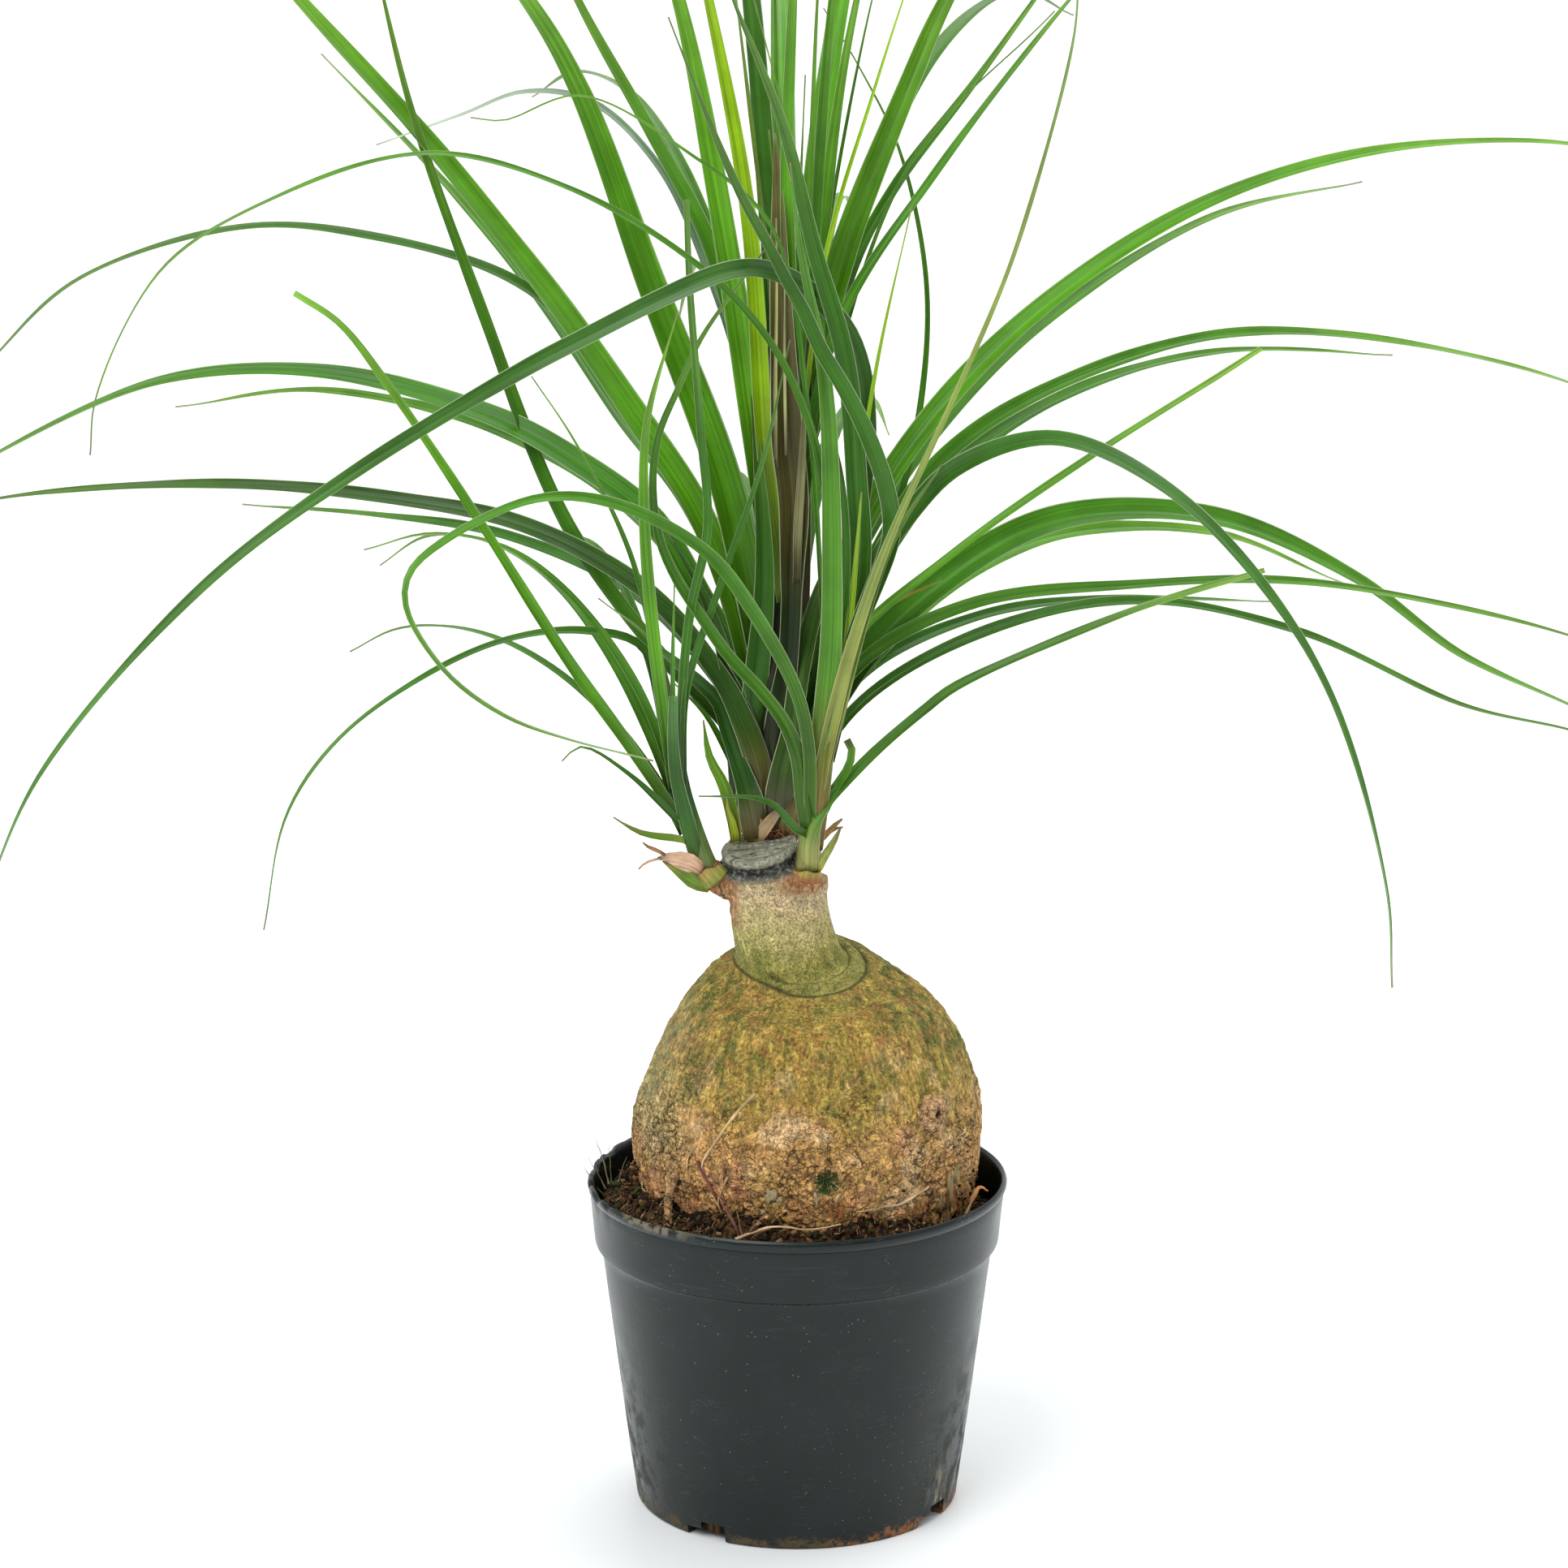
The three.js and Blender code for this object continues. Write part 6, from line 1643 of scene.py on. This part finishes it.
litter = Pile()
STRAW_FOOT = (-16.5, -61, 108)
for radius, *route in ((0.5, STRAW_FOOT, (-21, -60.4, 116), (-26, -58, 126), (-29, -54, 133)),
                       (0.42, STRAW_FOOT, (-20, -60.9, 115), (-24.5, -60, 126)),
                       (0.4, STRAW_FOOT, (-15, -62.5, 114), (-10.6, -63, 119)),
                       (0.35, STRAW_FOOT, (-18, -62.2, 113), (-19.6, -62, 120)),
                       (0.3, STRAW_FOOT, (-13.6, -62.4, 112), (-7.6, -63.2, 115))):
    strand(litter, route, radius, rng.choice(("#6f3f30", "#8a5a44", "#a47c5c")), thin=0.7, kink=0.4)
for radius, code, *route in (
        (0.55, "#d9b78c", (-20, -63, 111), (-8, -61.5, 114.5), (3, -62, 113.8), (14, -61, 115)),
        (0.9, "#c4803f", (57, -30, 112), (60, -26, 116), (63, -22, 113.5)),
        (0.5, "#b99a70", (55, -34, 108), (57, -33, 113), (58.5, -31.5, 117))):
    strand(litter, route, radius, code, thin=0.6, kink=0.4)
litter.build("dry_straw_fan", papery, "straw", "dry_straws")

grass = Pile()
GRASS_FOOT = (-61.5, 6, 98)
for tip in ((-70, 3, 117), (-63, 6.5, 120), (-68, 9, 122), (-57, 3, 117), (-72, 6, 113)):
    middle = ((GRASS_FOOT[0] + tip[0]) / 2 - 0.3, (GRASS_FOOT[1] + tip[1]) / 2, tip[2] - 8)
    strand(grass, [GRASS_FOOT, middle, tip], 0.45, rng.choice(("#8f9468", "#a9a184", "#6d7d4a")),
           thin=0.85, kink=0.3)
grass.build("grass_sprigs", papery, "straw", "grass_tuft")

# Fine roots that cross the bulb: radius, colour, then places in the photograph's frame.
ROOTLETS = (
    (0.55, "#dcbd8c", (931, 1348), (902, 1379), (880, 1410), (866, 1435), (870, 1452), (878, 1468),
     (889, 1490), (900, 1508)),
    (0.42, "#d9b98a", (858, 1412), (852, 1420), (848, 1427), (847, 1440)),
    (0.55, "#dfc296", (1144, 1462), (1125, 1474), (1107, 1483), (1090, 1487), (1070, 1490), (1055, 1492)),
    (0.4, "#cfa878", (897, 1450), (890, 1465), (885, 1480), (890, 1498)),
    (0.9, "#b5713a", (1035, 1486), (1036, 1494), (1032, 1502)),
    (0.6, "#7d4438", (860, 1430), (868, 1448), (880, 1470), (888, 1488), (894, 1500)),
    (0.4, "#a57c68", (866, 1436), (876, 1462), (888, 1484), (897, 1502)),
    (0.22, "#c9a070", (1000, 1395), (1010, 1402), (1016, 1415), (1012, 1428)),
    (0.22, "#b98f5c", (952, 1440), (966, 1446), (980, 1444), (992, 1450)))
FIBRE_COUNT = 230
FIBRE_CODES = ("#a57c50", "#c49b68", "#6e4a2e", "#3d2c1e", "#8a6a44")
roots = Pile()
for radius, code, *pixels in ROOTLETS:
    strand(roots, [on_bark(u, v, radius * 0.75) for u, v in pixels], radius, code, thin=0.45, kink=0.25)
for index in range(FIBRE_COUNT):  # fibres in the soil
    angle = soil_bearing(index)
    away, turned_by, length = rng.uniform(56, 64), rng.uniform(0, 2 * math.pi), rng.uniform(2, 6)
    route = []
    for share in (-0.5, -0.1, 0.2, 0.5):
        x = away * math.cos(angle) + share * length * math.cos(turned_by + share)
        y = away * math.sin(angle) + share * length * math.sin(turned_by + share)
        route.append((x, y, soil_top(x, y) + rng.uniform(-0.2, 0.9)))
    strand(roots, route, rng.uniform(0.12, 0.26), rng.choice(FIBRE_CODES), sides=4, thin=0.5, kink=0.4)
roots.build("fine_roots", papery, "straw")

tuft = Pile()
MOSS_MIDDLE = (1018, 1455)  # in the photograph's frame
MOSS_REACH = 12.5
MOSS_HAIR_COUNT = 150
MOSS_CODES = ("#3a5a26", "#4c6f2e", "#2e4c22", "#5f8038", "#3f6032")
for spot in range(MOSS_HAIR_COUNT):
    away, around = rng.uniform(0, 1) ** 0.7 * MOSS_REACH, rng.uniform(0, 2 * math.pi)
    aside, down = away * math.cos(around), away * math.sin(around)
    foot = on_bark(MOSS_MIDDLE[0] + aside, MOSS_MIDDLE[1] + down * 1.05, -0.3)
    lean = np.array((aside / 12, -1.0, 0.25 - down / 14))
    lean = unit(lean + np.array([rng.gauss(0, 0.35) for _ in range(3)]))
    length = rng.uniform(1.6, 3.4)
    strand(tuft, [foot, foot + lean * length * 0.5, foot + lean * length + (0, 0, -0.5)],
           rng.uniform(0.16, 0.3), rng.choice(MOSS_CODES), sides=4, thin=0.8)
tuft.build("moss_tuft", papery, "moss", "moss_sprig")

FLAKE_THICKNESS = 0.45
flakes = Pile()
for u, v, tall, wide, code in ((1170, 1462, 5.4, 1.9, "#93794c"), (1160, 1484, 3.4, 2.2, "#8d6f44"),
                               (1177, 1446, 3.4, 1.4, "#8f8352"), (1151, 1470, 2.0, 1.2, "#8f6c42"),
                               (1166, 1500, 4.2, 1.9, "#b08a60"), (1180, 1486, 2.6, 1.4, "#a8643a"),
                               (948, 1474, 2.2, 2.0, "#a89670"), (960, 1480, 1.2, 1.4, "#b5a27c"),
                               (1006, 1476, 1.8, 0.9, "#b9a27a"), (941, 1493, 1.1, 1.0, "#bda884")):
    points, faces = BALL
    knocked = points * (1 + 1.1 * grain(points, 0.7, u * 0.1, 3))[:, None]
    place = on_bark(u, v, 0.3)
    out = unit(place * (1, 1, 0) - (BULB_OFFSET, 0, 0))
    level = np.array((-out[1], out[0], 0))
    shaped = knocked * (wide, FLAKE_THICKNESS, tall) @ np.array((level, out, UP))
    shade = colour(code) * (1 + 0.4 * grain(shaped, 1.2, v * 0.1))[:, None]
    flakes.add(shaped + place, faces, shade=np.clip(shade, 0, 1), across=shaped @ level * MM,
               along=shaped[:, 2] * MM)
flakes.build("pale_bark_flakes", papery, "bark", "bark_flake")

# ------------------------------------------------------------- floor, light, camera

FLOOR_REACH = 40000
FLOOR_DROP = 0.02  # the floor lies this much under the pot, so that they don't flicker
WORLD_LIGHT = 0.8
FRONT_SHARE = 0.3  # how much of it comes from the photographer's side
SENSOR_WIDTH = 36

corners = [(x * FLOOR_REACH, y * FLOOR_REACH, -FLOOR_DROP) for x, y in ((-1, -1), (1, -1), (1, 1), (-1, 1))]
floor = mesh_object("pale_floor", corners, [(0, 1, 2, 3)])
floor.data.materials.append(floor_skin())

scene = bpy.context.scene
scene.view_settings.view_transform = "Standard"


def studio():
    """White all round, but dimmer on the side that the photographer stands on."""
    scene.world = bpy.data.worlds.new("studio")
    scene.world.use_nodes = True
    s = Nodes(scene.world.node_tree)
    toward = s.add("SeparateXYZ", Vector=s.add("TexCoord").outputs["Generated"]).outputs
    front = s.times(s.between(toward["Y"], -0.35, -0.9), s.between(toward["Z"], 0.75, 0.25))
    dim = s.add("MapRange", Value=front, To_Min=WORLD_LIGHT, To_Max=WORLD_LIGHT * FRONT_SHARE)
    sky = s.tree.nodes["Background"]
    s.feed(sky.inputs["Color"], (0.98, 0.99, 1.0))
    s.feed(sky.inputs["Strength"], dim.outputs["Result"])


def far_light(name, place, power, spread):
    """A broad lamp, so far away that all the floor gets the same from it."""
    light = bpy.data.lights.new(name, "SUN")
    light.energy, light.angle = power, math.radians(spread)
    thing = bpy.data.objects.new(name, light)
    thing.location = place
    thing.rotation_euler = (-Vector(place)).to_track_quat("-Z", "Y").to_euler()
    scene.collection.objects.link(thing)


studio()
far_light("key_front_left", (-1.1, -1.2, 2.0), 1.5, 40)
far_light("top_back", (0.7, 1.0, 2.2), 1.3, 50)

camera = bpy.data.objects.new("camera", bpy.data.cameras.new("camera"))
camera.location = Vector(EYE * MM)
camera.rotation_euler = (math.pi / 2 - EYE_TILT, 0, 0)
camera.data.sensor_width = SENSOR_WIDTH
camera.data.lens = SENSOR_WIDTH * FOCAL_PIXELS / FRAME_PIXELS
camera.data.clip_end = 200
scene.collection.objects.link(camera)
scene.camera = camera
